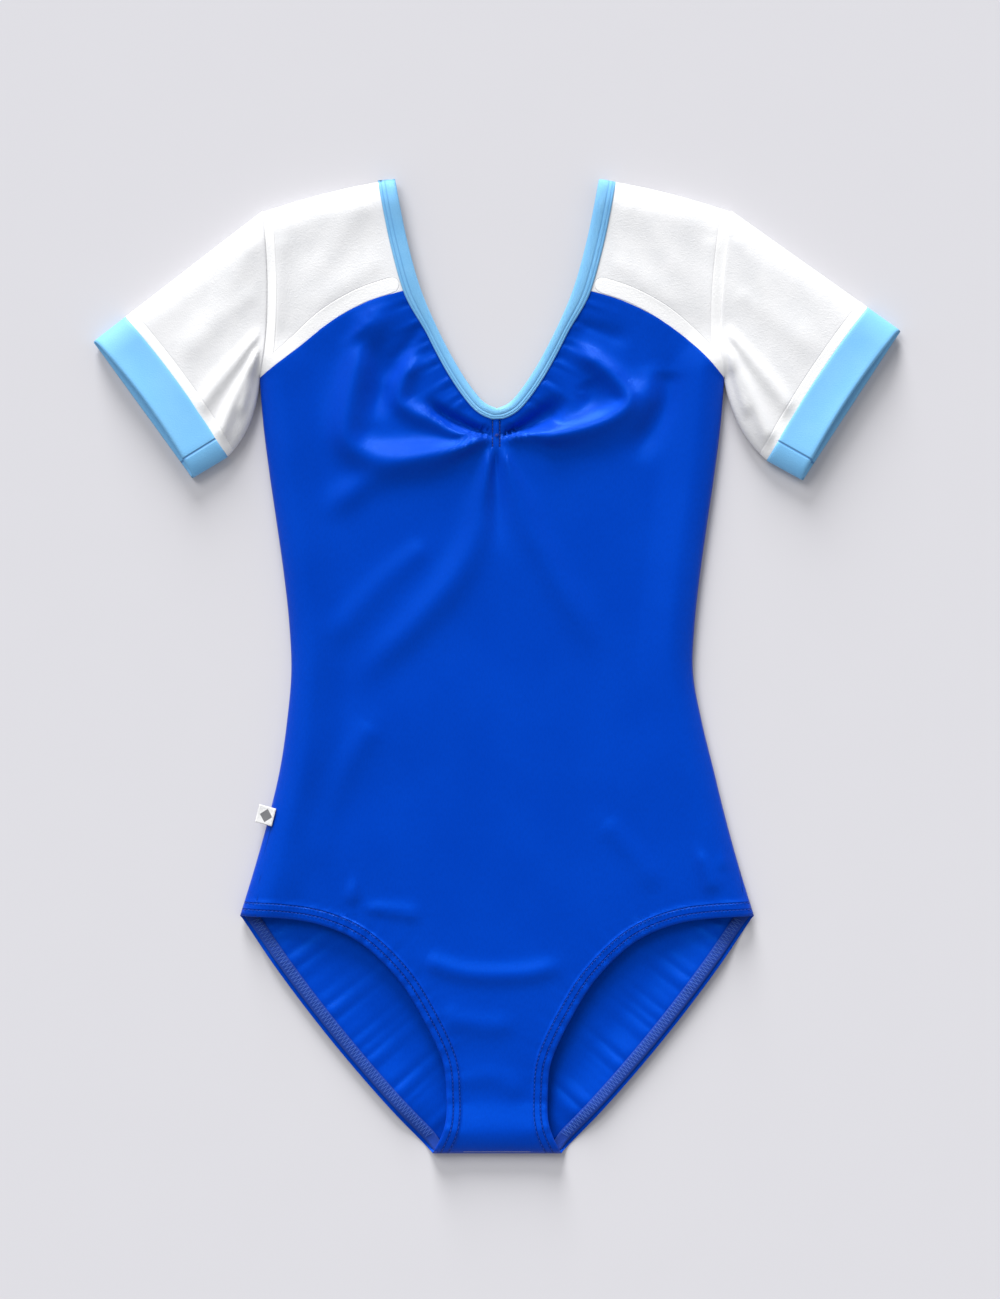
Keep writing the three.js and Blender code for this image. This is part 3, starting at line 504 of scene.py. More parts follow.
def strip_cloth(along, across, shape):
    """Cloth coordinates of a strip, from its rows' distances along it and its columns' across it."""
    return np.dstack([np.repeat(along[:, None], shape[1], 1), np.broadcast_to(across, shape)])


EDGE_ROWS = np.array([0, 0.5, 1.1, 1.9, 3.0, 4.5])  # distances from an edge, where the cloth turns


def near_edge(length):
    """Shares of a span, close together at its far end."""
    fine = EDGE_ROWS / length
    return np.concatenate([np.linspace(0, 1 - fine[-1], max(3, int(length / GRID))), 1 - fine[-2::-1]])


def both_ends(length, count):
    """Shares of a span, close together at both ends."""
    fine = EDGE_ROWS / length
    return np.concatenate([fine[:-1], np.linspace(fine[-1], 1 - fine[-1], count), 1 - fine[-2::-1]])


def patch(top, bottom, inner, outer):
    """Plan points that fill four edges. top and bottom run outwards, and inner and outer run downwards."""
    v = np.linspace(0, 1, len(inner))[:, None, None]
    u = np.linalg.norm(top - top[0], axis=1) / np.linalg.norm(top[-1] - top[0])
    w = np.linalg.norm(bottom - bottom[0], axis=1) / np.linalg.norm(bottom[-1] - bottom[0])
    s = mix(u[None], w[None], v[..., 0])[..., None]
    top_off = (top - mix(top[0], top[-1], u[:, None]))[None]
    bottom_off = (bottom - mix(bottom[0], bottom[-1], w[:, None]))[None]
    return mix(inner[:, None], outer[:, None], s) + top_off * (1 - v) + bottom_off * v


def fitted(path, shares, start, end):
    points = path.at(np.asarray(shares) * path.length)
    s = np.asarray(shares)[:, None]
    return points + (start - points[0]) * (1 - s) + (end - points[-1]) * s


# ---- The neckline: where the binding ends and the cloth starts ----
UNDER_BAND = 0.6  # the cloth's edge lies under the binding, this share of its width from the neckline


def neck_width(layer, y):
    if layer == "back":
        return np.full(np.shape(y), float(NECK_BAND))
    yoke_y = TOP - YOKE_DROP
    return mix(NECK_BAND_FRONT, NECK_BAND, smooth(yoke_y - NECK_NARROWING, yoke_y, y))


def beside_neck(layer, name, distances, reach=1.0):
    """Points along the neckline, moved outwards by a share of the binding's width."""
    path = TORSO[name][f"neck_{layer}"]
    points, outwards = path.at(distances), path.normals(distances) * SIDES[name]
    return points + outwards * (neck_width(layer, points[:, 1]) * reach)[:, None]


def yoke_crossing(layer, name):
    path = TORSO[name][f"neck_{layer}"]
    return path.run[np.argmax(path.points[:, 1] <= TOP - YOKE_DROP)]


# ---- The two panels ----
# The back wraps round onto the front at the hips, where its seam shows.
SIDE_WRAPS = [spline([(-155, -99), (-157.3, -112), (-160.8, -126), (-164.3, -143), (-167.2, -163),
                      (-168.4, -174)]),
              spline([(167.8, -130), (170, -146), (171.5, -160)])]
SIDE_ROWS, LEG_ROWS, NECK_ROWS = 162, 104, {"front": 54, "back": 88}


def body_half(layer, name, columns):
    cut = TORSO[name]
    start, neck = yoke_crossing(layer, name), cut[f"neck_{layer}"]
    side = cut["side_seam"].even(SIDE_ROWS)
    leg = cut[f"leg_{layer}"].even(LEG_ROWS)
    neck_line = beside_neck(layer, name, np.linspace(start, neck.length, NECK_ROWS[layer]), UNDER_BAND)
    neck_line[-1, 0] = 0
    rest = len(side) - len(neck_line)
    centre = np.linspace(neck_line[-1, 1], LEG_Y, rest + 1)[1:]
    inner = np.vstack([neck_line, np.c_[np.zeros(rest), centre], np.c_[np.zeros(len(leg) - 1), leg[1:, 1]]])
    outer = np.vstack([side, leg[1:]])
    top = fitted(cut["yoke_seam"], columns, inner[0], outer[0])
    bottom = mix(inner[-1], outer[-1], columns[:, None])
    runs = np.concatenate([[0], np.cumsum(np.hypot(*np.diff(outer, axis=0).T))])
    v = (runs / runs[-1])[:, None, None]
    u = np.linalg.norm(top - top[0], axis=1) / np.linalg.norm(top[-1] - top[0])
    s = mix(u[None], columns[None], v[..., 0])[..., None]
    off = (top - mix(top[0], top[-1], u[:, None]))[None]
    return mix(inner[:, None], outer[:, None], s) + off * np.clip(1 - v * 3, 0, 1) ** 2


def panel(layer, material):
    columns = near_edge(HIP_WIDTH / 2)
    halves = {}
    for name in SIDES:
        half = body_half(layer, name, columns)
        halves[name] = np.concatenate([half[:1] + [0, TUCK], half])
    plan, faces = joined_halves(halves["left"], halves["right"], flip=layer == "front")
    z = front_height(plan) if layer == "front" else back_height(plan)
    under = np.concatenate([np.arange(halves[n][..., 0].size) < len(columns) for n in ("right", "left")])
    z = z + np.where(under, -TUCK_DEPTH if layer == "front" else TUCK_DEPTH, 0)
    legs = LEG_FRONTS if layer == "front" else LEG_BACKS
    marks = {"hem": distance_to(legs, plan, 3), "wrap": distance_to(SIDE_WRAPS, plan, 3)}
    obj = add_mesh(f"{layer}_panel_cloth", np.c_[plan, z], faces, material, "torso", marks=marks)
    return thicken(obj, CLOTH)


YOKE_BAND = 5.4  # how much of the yoke seam's allowance shows through as a brighter band


def yoke(layer, name, material):
    cut = TORSO[name]
    crossing = yoke_crossing(layer, name)
    shares = both_ends(90, 34)
    v = both_ends(110, 40)
    inner = beside_neck(layer, name, v * crossing, UNDER_BAND)
    outer = cut["armhole"].at(v * cut["armhole"].length)
    inner[0] = cut["shoulder"].at(np.array([NECK_BAND * UNDER_BAND]))[0]
    top = cut["shoulder"].at(mix(NECK_BAND * UNDER_BAND, cut["shoulder"].length, shares))
    bottom = fitted(cut["yoke_seam"], shares, inner[-1], outer[-1])
    plan = patch(top, bottom, inner, outer)
    z = yoke_front_height(plan, name) if layer == "front" else back_height(plan)
    marks = {"seam": distance_to([cut["yoke_seam"]], plan, 3) * ALLOWANCE / YOKE_BAND,
             "armhole": distance_to([cut["armhole"]], plan, 3)}
    return add_sheet(f"{name}_{layer}_yoke_cloth", plan, z, material, "torso", MESH_CLOTH, marks=marks,
                     flip=(layer == "front") == (name == "right"))


# Soft folds of the mesh, like CRESTS. The yokes' are for the left side, and mirrored on the right.
YOKE_CRESTS = [
    ([(-150, 300), (-152, 262), (-156, 224)], 1.1, 6, 6, 16),
    ([(-92, 326), (-112, 296), (-134, 262)], 0.7, 9, 9, 24),
    ([(-80, 284), (-104, 268), (-136, 244)], 0.6, 7, 9, 24),
]
SLEEVE_CRESTS = {
    "left": [
        ([(-165, 222), (-176, 200), (-187, 176), (-196, 152)], 3.0, 2.6, 4.5, 12),
        ([(-166, 232), (-185, 208), (-204, 184), (-212, 166)], 2.4, 2.8, 5.5, 18),
        ([(-167, 216), (-172, 196), (-180, 172)], 2.2, 2.2, 3.4, 10),
        ([(-170, 300), (-184, 268), (-206, 232), (-226, 204)], 0.8, 7, 10, 30),
        ([(-168, 262), (-196, 238), (-228, 212)], 0.7, 6, 9, 26),
    ],
    "right": [
        ([(160, 222), (171, 200), (182, 176), (192, 152)], 3.0, 2.6, 4.5, 12),
        ([(161, 234), (180, 210), (199, 186), (208, 168)], 2.4, 2.8, 5.5, 18),
        ([(161, 214), (168, 194), (176, 172)], 2.2, 2.2, 3.4, 10),
        ([(168, 302), (184, 268), (206, 234), (226, 208)], 0.8, 7, 10, 30),
        ([(166, 262), (194, 240), (228, 216)], 0.7, 6, 9, 26),
    ],
}


def yoke_front_height(points, name):
    d = distance_to(FOLDS, points)
    z = front_height(points, body=False)
    mirrored = points * [-SIDES[name], 1]
    free = smooth(2, 14, d) * smooth(0, 9,
                                     distance_to([TORSO[name]["armhole"], TORSO[name]["yoke_seam"]], points))
    for path, height, near, far, fade in YOKE_CRESTS:
        z = z + free * crest(mirrored, path, height, near, far, fade)
    return z


def sleeve_front_height(points, name):
    d = distance_to(FOLDS, points)
    z = front_height(points, body=False)
    free = smooth(1, 9, d) * smooth(0, 6, distance_to([TORSO[name]["armhole"]], points))
    free = free * smooth(0, 9, distance_to([SLEEVE[name]["seam"]], points))
    for path, height, near, far, fade in SLEEVE_CRESTS[name]:
        z = z + free * crest(points, path, height, near, far, fade)
    return z


BACK_CLOTH = 400  # added to the cloth coordinates of a tube's back, which is other cloth than its front
FAR_MARK = 50.0  # the distance of a seam that a piece's material leaves out


def tube(first, last, top_path, bottom_path, around, along, front, back):
    """Rows of points round a flat tube. Each row runs down the front layer and back up the back layer."""
    v = np.linspace(0, 1, along)
    inner, outer = top_path.at(v * top_path.length), bottom_path.at(v * bottom_path.length)
    shares = both_ends(first.length, around)
    top, bottom = fitted(first, shares, inner[0], outer[0]), fitted(last, shares, inner[-1], outer[-1])
    plan = patch(top, bottom, inner, outer)
    high, low = front(plan), back(plan)
    ring_plan = np.concatenate([plan, plan[:, -2:0:-1]], axis=1)
    ring_z = np.concatenate([high, low[:, -2:0:-1]], axis=1)
    return ring_plan, ring_z, len(shares)


def sleeve(name, material):
    cut = SLEEVE[name]
    plan, z, half = tube(TORSO[name]["armhole"], cut["seam"], cut["top"], cut["bottom"], 46, 52,
                         lambda p: sleeve_front_height(p, name), back_height)
    sign = np.where(np.arange(plan.shape[1]) < half, 1, -1)
    plan, z = tucked(plan, z, -cut["outwards"] * TUCK, sign)
    around = plan.copy()
    around[:, half:, 0] += BACK_CLOTH
    marks = {"seam": distance_to([cut["seam"]], plan, 3), "armhole": np.full(z.shape, FAR_MARK)}
    return add_sheet(f"{name}_sleeve_cloth", plan, z, material, f"bend_{name}", MESH_CLOTH, around, marks,
                     closed_cols=True, flip=name == "right")


CUFF_LIFT = 2.4  # how far the front of the mouth stands off the back
CUFF_BACK, CUFF_OUT = 4.4, 0.9  # how far the front of the mouth is drawn back, and the back reaches out
CUFF_TURNS = ((0.3, 0.9), (2.0, 1.35), (5.0, 1.45), (9.0, 1.5))  # (from the mouth, depth) of the turned-in side
CUFF_INSIDE = 0.985  # the turned-in side's width, as a share of the mouth's, clear of the folds


def cuff(name, material):
    """One doubled band, folded at the mouth and turned inside it."""
    cut = SLEEVE[name]

    def front(p):
        return front_height(p, body=False) + 0.35

    plan, z, half = tube(cut["seam"], cut["mouth"], cut["cuff_top"], cut["cuff_bottom"], 44, 15, front,
                         back_height)
    rows, cols = z.shape
    out = cut["outwards"]
    share = np.linspace(0, 1, rows)[:, None]
    is_front = np.arange(cols) < half
    rise = np.sin(np.pi * np.clip(np.arange(cols) / (half - 1), 0, 1))
    z = z + np.where(is_front, CUFF_LIFT * rise * share**2, 0)
    stretch = np.where(is_front, -CUFF_BACK * rise, CUFF_OUT) * share**2
    plan = plan + stretch[..., None] * out
    z[-1] += np.where(is_front, -0.5, 0.5)
    plan, z = tucked(plan, z, -out * TUCK, np.where(is_front, 1, -1))
    inward = np.where(is_front, -1.0, 1.0)
    inner = np.array([np.c_[plan[-1] - step * out, z[-1] + inward * depth] for step, depth in CUFF_TURNS])
    middle = cut["mouth"].at(cut["mouth"].length / 2)
    inner[..., :2] = middle + (inner[..., :2] - middle) * CUFF_INSIDE
    points = np.concatenate([np.dstack([plan, z]), inner])
    around = np.concatenate([plan, inner[..., :2] + [0, 60]])
    around[:, half:, 0] += BACK_CLOTH
    marks = {"join": join_distance(name, points[..., :2])}
    return add_sheet(f"{name}_cuff_cloth", points[..., :2], points[..., 2], material, f"{name}_arm",
                     CUFF_CLOTH / 2,
                     around, marks, closed_cols=True, flip=name == "right")


CUFF_JOIN = 0.885  # where the cuff's ends are sewn together, as a share of its depth from the top fold


def join_distance(name, points):
    """How far each point is to one side of the seam that joins the cuff's ends."""
    cut = SLEEVE[name]
    a, b = (cut[k].at(cut[k].length * CUFF_JOIN) for k in ("seam", "mouth"))
    run = (b - a) / np.linalg.norm(b - a)
    return (points - a) @ np.array([-run[1], run[0]])


# ---- Neck binding: one folded strip that runs right round the neckline ----
# Its section, as (share of the width from the folded edge, height over the cloth, in millimetres).
BINDING_SECTION = [(1.0, 0.25), (0.985, 0.7), (0.93, 0.95), (0.86, 0.78), (0.8, 0.98), (0.7, 1.06),
                   (0.62, 0.84),
                   (0.55, 1.12), (0.38, 1.3), (0.2, 1.15), (0.07, 0.7), (0.0, -0.1), (0.06, -0.95),
                   (0.2, -1.25),
                   (0.5, -1.35), (0.95, -1.35)]


def neck_rows():
    """The plan line of the neckline as a loop, with its outward direction, width and layer."""
    rows = []
    for layer, order in (("front", ("right", "left")), ("back", ("left", "right"))):
        for k, name in enumerate(order):
            path = TORSO[name][f"neck_{layer}"]
            d = np.linspace(0, path.length, int(path.length / 1.8))
            d = d if k == 0 else d[::-1]
            p, e = path.at(d), beside_neck(layer, name, d)
            rows += [(p[i], e[i], layer) for i in range(len(d) - 1)]
    return rows


def band_grid(shares, lifts, squeeze):
    """A strip round the neckline: its plan points and heights, and the distance along its edge."""
    rows = neck_rows()
    edges, ends = (np.array([r[k] for r in rows]) for k in (0, 1))
    front = np.array([r[2] == "front" for r in rows])
    plan = mix(edges[:, None], ends[:, None], shares[None, :, None])
    z = np.zeros(plan.shape[:2])
    z[front] = band_base(plan[front], "front") + lifts
    z[~front] = band_base(plan[~front], "back") - lifts
    fold = distance_to([TORSO[n]["shoulder"] for n in SIDES], plan)
    z = FOLD_HEIGHT + (z - FOLD_HEIGHT) * mix(squeeze, 1, smooth(0, 7, fold))
    return plan, z, np.concatenate([[0], np.cumsum(np.hypot(*np.diff(edges, axis=0).T))])


def neck_binding(material):
    shares, lifts = np.array(BINDING_SECTION).T
    plan, z, run = band_grid(shares, lifts, 0.92)
    cloth = strip_cloth(run, np.cumsum(np.full(len(shares), 1.5)), z.shape)
    marks = {"hem": np.broadcast_to(shares * NECK_BAND, z.shape)}
    return add_sheet("neck_binding_cloth", plan, z, material, "torso", BINDING_CLOTH, cloth, marks,
                     closed_rows=True, flip=True)


def band_base(points, layer):
    """Height of the middle of the cloth under the binding."""
    if layer == "back":
        return back_height(points) + 1.9
    return front_height(points, body=False) - 0.2


# ---- Elastics, allowances and linings ----
def ribbon_plan(path, turn, near, far, start_run=None, end_run=None, columns=5, margin=1.2):
    """Plan rows of a ribbon beside a path. Near each end it swings round to run along the fold there."""
    d = np.linspace(margin, path.length - margin, max(4, int(path.length / GRID)))
    across = path.normals(d) * turn
    for toward, distance in ((start_run, d), (end_run, path.length - d)):
        if toward is not None:
            share = (1 - np.clip(distance / 14, 0, 1) ** 2)[:, None]
            across = mix(across, toward, share)
            across /= np.linalg.norm(across, axis=1, keepdims=True)
    reach = np.linspace(near, far, columns)
    return path.at(d)[:, None] + across[:, None] * reach[None, :, None], d, reach


def inside(points, layer, depth, body):
    """Height of what lies against the inside of a layer, a given depth below its outside."""
    d = distance_to(FOLDS, points)
    if layer == "front":
        return front_height(points, body) - depth * smooth(0, 4, d)
    return back_height(points) + depth * smooth(0, 4, d)


def direction(path, at_end):
    """The way a fold runs from one of its ends into the cloth."""
    a, b = path.at(np.array([path.length, path.length - 12] if at_end else [0, 12]))
    return (b - a) / np.linalg.norm(b - a)


def ring(name, front, back, turn, near, far, runs, depth, material, body, on_torso):
    """A closed ribbon against the inside of both layers."""
    rows, heights, along = [], [], []
    for layer, path in (("front", front), ("back", back)):
        plan, d, reach = ribbon_plan(path, turn, near, far, *runs)
        z = inside(plan, layer, depth, on_torso)
        order = slice(None) if layer == "front" else slice(None, None, -1)
        rows.append(plan[order])
        heights.append(z[order])
        along.append((d if layer == "front" else 2 * path.length - d)[order])
    plan, z, s = np.concatenate(rows), np.concatenate(heights), np.concatenate(along)
    return add_sheet(name, plan, z, material, body, BAND_CLOTH, strip_cloth(s, reach, z.shape),
                     inwards=turn < 0,
                     closed_rows=True)


LEG_EDGE = 2.6  # from the leg opening's edge to its elastic


def leg_elastic(name, material):
    cut = TORSO[name]
    runs = (direction(cut["side_seam"], True), direction(CROTCH_FOLD, name == "right"))
    return ring(f"{name}_leg_elastic_band", cut["leg_front"], cut["leg_back"], -SIDES[name], LEG_EDGE,
                LEG_EDGE + LEG_ELASTIC_WIDTH, runs, 1.25, material, "torso", True)


def armhole_seam(name, material):
    cut = TORSO[name]
    runs = (direction(cut["shoulder"], True), direction(cut["side_seam"], False))
    return ring(f"{name}_armhole_allowance", cut["armhole"], cut["armhole"], -SIDES[name], 0.8, ALLOWANCE,
                runs,
                1.5, material, "torso", False)


def cuff_seam(name, material):
    cut = SLEEVE[name]
    runs = (direction(cut["top"], True), direction(cut["bottom"], True))
    return ring(f"{name}_cuff_allowance", cut["seam"], cut["seam"], -SIDES[name], 0.8, ALLOWANCE, runs, 1.1,
                material, f"{name}_arm", False)


def fin(name, path, start, stop, turn, material, body):
    """An allowance that points in from a fold, between the layers."""
    d = np.linspace(start, path.length - stop, max(4, int(path.length / GRID)))
    across = path.normals(d) * turn
    reach = np.array([1.2, 3.4, 5.6, 7.8])
    plan = path.at(d)[:, None] + across[:, None] * reach[None, :, None]
    wave = 0.35 * np.sin(d / 9)[:, None] * smooth(1, 8, reach)
    z = FOLD_HEIGHT + wave
    return add_sheet(name, plan, z, material, body, BAND_CLOTH, strip_cloth(d, reach, z.shape))


def yoke_allowance(layer, name, material):
    seam = TORSO[name]["yoke_seam"]
    path = Path(seam.at(np.linspace(5, seam.length, 60)))
    plan, d, reach = ribbon_plan(path, SIDES[name], 0.6, ALLOWANCE,
                                 end_run=direction(TORSO[name]["armhole"], True))
    z = inside(plan, layer, 0.95, False)
    return add_sheet(f"{name}_{layer}_yoke_allowance", plan, z, material, "torso", TAPE_CLOTH,
                     strip_cloth(d, reach, z.shape), inwards=False)


LINING_DEPTH, LINING_LOWEST = 3.6, 1.1  # below the front's outside, and above the table
LINING_SHARE = 0.84  # how far across each half of the front the lining goes


def front_lining(material):
    columns = np.linspace(0, LINING_SHARE, 46)
    halves = {}
    for name in SIDES:
        full = body_half("front", name, columns)
        halves[name] = full[: int(np.argmax(full[:, -1, 1] < TOP - LINING_DROP))]
    rows = min(len(half) for half in halves.values())
    plan, faces = joined_halves(halves["left"][:rows], halves["right"][:rows], flip=True)
    z = np.maximum(front_height(plan) - LINING_DEPTH, LINING_LOWEST)
    obj = add_mesh("front_lining_cloth", np.c_[plan, z], faces, material, "torso")
    return thicken(obj, BAND_CLOTH)


def gusset_lining(material):
    half = CROTCH_NARROWEST / 2 - LEG_EDGE - LEG_ELASTIC_WIDTH - 1
    x = np.linspace(-half, half, 24)
    rows = 32  # on each layer
    down = np.linspace(GUSSET_LENGTH, 1.4, rows)
    plan = np.dstack(np.meshgrid(x, CROTCH_Y + np.concatenate([down, np.linspace(1.4, GUSSET_LENGTH, rows)])))
    z = np.concatenate([inside(plan[:rows], "front", 1.15, True), inside(plan[rows:], "back", 0.9, True)])
    cloth = plan.copy()
    cloth[rows:, :, 1] += BACK_CLOTH / 2
    return add_sheet("gusset_lining_cloth", plan, z, material, "torso", TAPE_CLOTH, cloth, inwards=False)


def pinch_tape(material):
    x = np.linspace(-PINCH_WIDTH / 2, PINCH_WIDTH / 2, 8)
    top = TOP - NECK_DEPTH_FRONT - NECK_BAND_FRONT - 0.5
    plan = np.dstack(np.meshgrid(x, np.linspace(top, top - PINCH_LENGTH, 24)))
    return add_sheet("pinch_tape_strip", plan, front_height(plan) - 2.4, material, "torso", TAPE_CLOTH,
                     flip=True)


def neck_elastic(material):
    plan, z, _ = band_grid(np.linspace(0.14, 0.9, 6), 0.0, 0.55)
    return add_sheet("neck_elastic_band", plan, z, material, "torso", BAND_CLOTH, closed_rows=True)


# ---- Label ----
LABEL_FROM_UNDERARM, LABEL_HEIGHT, LABEL_LENGTH, LABEL_INSET, LABEL_CLOTH = 308, 12.6, 14, 5, 0.22
LABEL_LEAF = 18  # rows of vertices on each leaf
LABEL_START = 1.2  # from the hinge to the near edge of the ribbon, so that it turns clear of the cloth


def label_place():
    """The middle of the label's sewn edge, the way along it, the way out, and its height."""
    side = TORSO["left"]["side_seam"]
    ends = np.array([LABEL_FROM_UNDERARM + LABEL_HEIGHT / 2, LABEL_FROM_UNDERARM - LABEL_HEIGHT / 2])
    lower, upper = side.at(ends)
    along = (upper - lower) / np.linalg.norm(upper - lower)
    out = np.array([-along[1], along[0]])
    root = (lower + upper) / 2 - out * LABEL_INSET
    return root, along, out, float(front_height(root[None])[0]) + 0.55


def label_droop(reach):
    return -0.36 * reach + 0.012 * reach**2


def side_label(material):
    """A ribbon folded in two, sewn in at the side and lying outwards over the fold."""
    root, along, out, base = label_place()
    # the section from the lower root round the fold at the end to the upper root: (reach, height)
    leaf = np.linspace(LABEL_START, LABEL_LENGTH - 0.5, LABEL_LEAF)
    turn = LABEL_LENGTH - np.array([0.12, 0, 0.12])
    reach = np.concatenate([leaf, turn, leaf[::-1]])
    swell = 0.25 * np.sin(np.linspace(0, 3.1, LABEL_LEAF))
    gap = np.concatenate([np.zeros(LABEL_LEAF), [0.12, 0.4, 0.68], np.full(LABEL_LEAF, 0.8) + swell])
    droop = label_droop(reach)
    across = np.linspace(-LABEL_HEIGHT / 2, LABEL_HEIGHT / 2, 16)
    curl = 0.35 * (across / (LABEL_HEIGHT / 2)) ** 2
    plan = root + reach[:, None, None] * 0.94 * out + across[None, :, None] * along
    z = base + (gap + droop)[:, None] + curl[None] * smooth(2, LABEL_LENGTH, reach)[:, None]
    upper_leaf = np.arange(len(reach)) > LABEL_LEAF + 1
    cloth = strip_cloth(np.where(upper_leaf, reach, -20 - reach), across, z.shape)
    return add_sheet("side_label_ribbon", plan, z, material, "label", LABEL_CLOTH, cloth)


# ---- Stitches ----
def stitches(name, starts, ends, radius, material, body, rise=0.0, sides=5):
    """Short raised threads, all in one mesh, each thick in the middle and thin at its ends."""
    points, faces = [], []
    shares = ((0, 0.35, 0), (0.25, 0.95, 0.8), (0.5, 1, 1), (0.75, 0.95, 0.8), (1, 0.35, 0))
    for a, b in zip(np.asarray(starts), np.asarray(ends)):
        run = (b - a) / np.linalg.norm(b - a)
        side = np.cross(run, [0, 0, 1.0])
        side /= np.linalg.norm(side)
        up = np.cross(side, run)
        first = len(points)
        for t, size, lift in shares:
            centre = a + (b - a) * t + up * rise * lift
            for k in range(sides):
                angle = 2 * math.pi * k / sides
                points.append(centre + radius * size * (side * math.cos(angle) + up * math.sin(angle)))
        for start in range(first, first + (len(shares) - 1) * sides, sides):
            for k in range(sides):
                p, q = start + k, start + (k + 1) % sides
                faces.append((p, q, q + sides, p + sides))
        faces.append(tuple(first + k for k in reversed(range(sides))))
        faces.append(tuple(first + (len(shares) - 1) * sides + k for k in range(sides)))
    return add_mesh(name, np.array(points), faces, material, body)


STITCH_SHARE = 0.68  # of a stitch's pitch that its thread shows


def stitch_row(path, offset, turn, pitch, height, start=3, stop=3):
    """The two ends of each stitch of a row that runs beside a path."""
    count = int((path.length - start - stop) / pitch)
    s = start + np.arange(count) * pitch
    ends = []
    for d in (s, s + pitch * STITCH_SHARE):
        plan = path.at(d) + path.normals(d) * turn * offset
        ends.append(np.c_[plan, height(plan)])
    return ends


def join_rows(rows):
    return [np.concatenate([r[k] for r in rows]) for k in (0, 1)]


def leg_stitches(material):
    rows = []
    for name in SIDES:
        path = TORSO[name]["leg_front"]
        for offset in HEM_STITCHES:
            rows.append(stitch_row(path, offset, -SIDES[name], 2.7, lambda p: front_height(p) + 0.3))
    return stitches("leg_hem_stitches", *join_rows(rows), 0.2, material, "torso", rise=0.12)


ZIGZAG_STEP, ZIGZAG_ROWS = 1.35, (4.2, 10.6)


def leg_zigzag(material):
    starts, ends = [], []
    for name in SIDES:
        path = TORSO[name]["leg_back"]
        count = int((path.length - 16) / ZIGZAG_STEP)
        s = 8 + np.arange(count) * ZIGZAG_STEP
        offset = np.where(np.arange(count) % 2 == 0, *ZIGZAG_ROWS)
        plan = path.at(s) + path.normals(s) * -SIDES[name] * offset[:, None]
        p = np.c_[plan, back_height(plan) + 1.95]
        starts.append(p[:-1])
        ends.append(p[1:])
    return stitches("leg_zigzag_stitches", np.concatenate(starts), np.concatenate(ends), 0.17, material,
                    "torso",
                    sides=4)


NECK_STITCHES = (0.62, 0.86)


def neck_stitches(material):
    """Two rows that lie in the dips of the binding's section."""
    rows, lifts = [], dict(BINDING_SECTION)
    for name in SIDES:
        for layer, sign in (("front", 1), ("back", -1)):
            d = np.linspace(0, TORSO[name][f"neck_{layer}"].length, 240)
            for share in NECK_STITCHES:
                line, rise = Path(beside_neck(layer, name, d, share)), sign * (lifts[share] + 0.12)
                rows.append(stitch_row(line, 0, 1, 2.3, lambda p: band_base(p, layer) + rise, start=9,
                                       stop=1))
    return stitches("neck_binding_stitches", *join_rows(rows), 0.17, material, "torso", rise=0.1)


def pinch_stitches(material):
    """Two upright rows, and the three slanting stitches of the tack between them."""
    sewn = [(x, y, 0.1, 1.6) for x in PINCH_ROWS for y in np.arange(153.5, 172, 2.3)]
    sewn += [(x, 160.2, 1.1, 2.2) for x in (-1.2, -0.4, 0.4)]
    starts = np.array([(PINCH[0] + x, y) for x, y, _, _ in sewn])
    stops = starts + np.array([(across, up) for _, _, across, up in sewn])
    ends = [np.c_[p, front_height(p) + 0.6] for p in (starts, stops)]
    return stitches("pinch_stitches", *ends, 0.22, material, "torso", rise=0.1)


def cuff_stitches(name, material):
    """The seam between sleeve and cuff: small overlock loops that show through the mesh."""
    path = SLEEVE[name]["seam"]
    row = stitch_row(path, 1.3, -SIDES[name], 1.9, lambda p: sleeve_front_height(p, name) + 0.12, start=4,
                     stop=4)
    return stitches(f"{name}_cuff_stitches", *row, 0.16, material, f"{name}_arm", rise=0.05)


def label_stitches(material):
    """A row of stitches across the label, just outside its sewn edge."""
    root, along, out, base = label_place()
    reach = LABEL_START + 1.1
    starts = np.arange(-LABEL_HEIGHT / 2 + 0.9, LABEL_HEIGHT / 2 - 2.2, 2.3)
    ends = []
    for s in (starts, starts + 1.6):
        plan = root + reach * 0.94 * out + s[:, None] * along
        ends.append(np.c_[plan, np.full(len(s), base + 1.06 + label_droop(reach))])
    return stitches("label_stitches", *ends, 0.17, material, "label", rise=0.1)


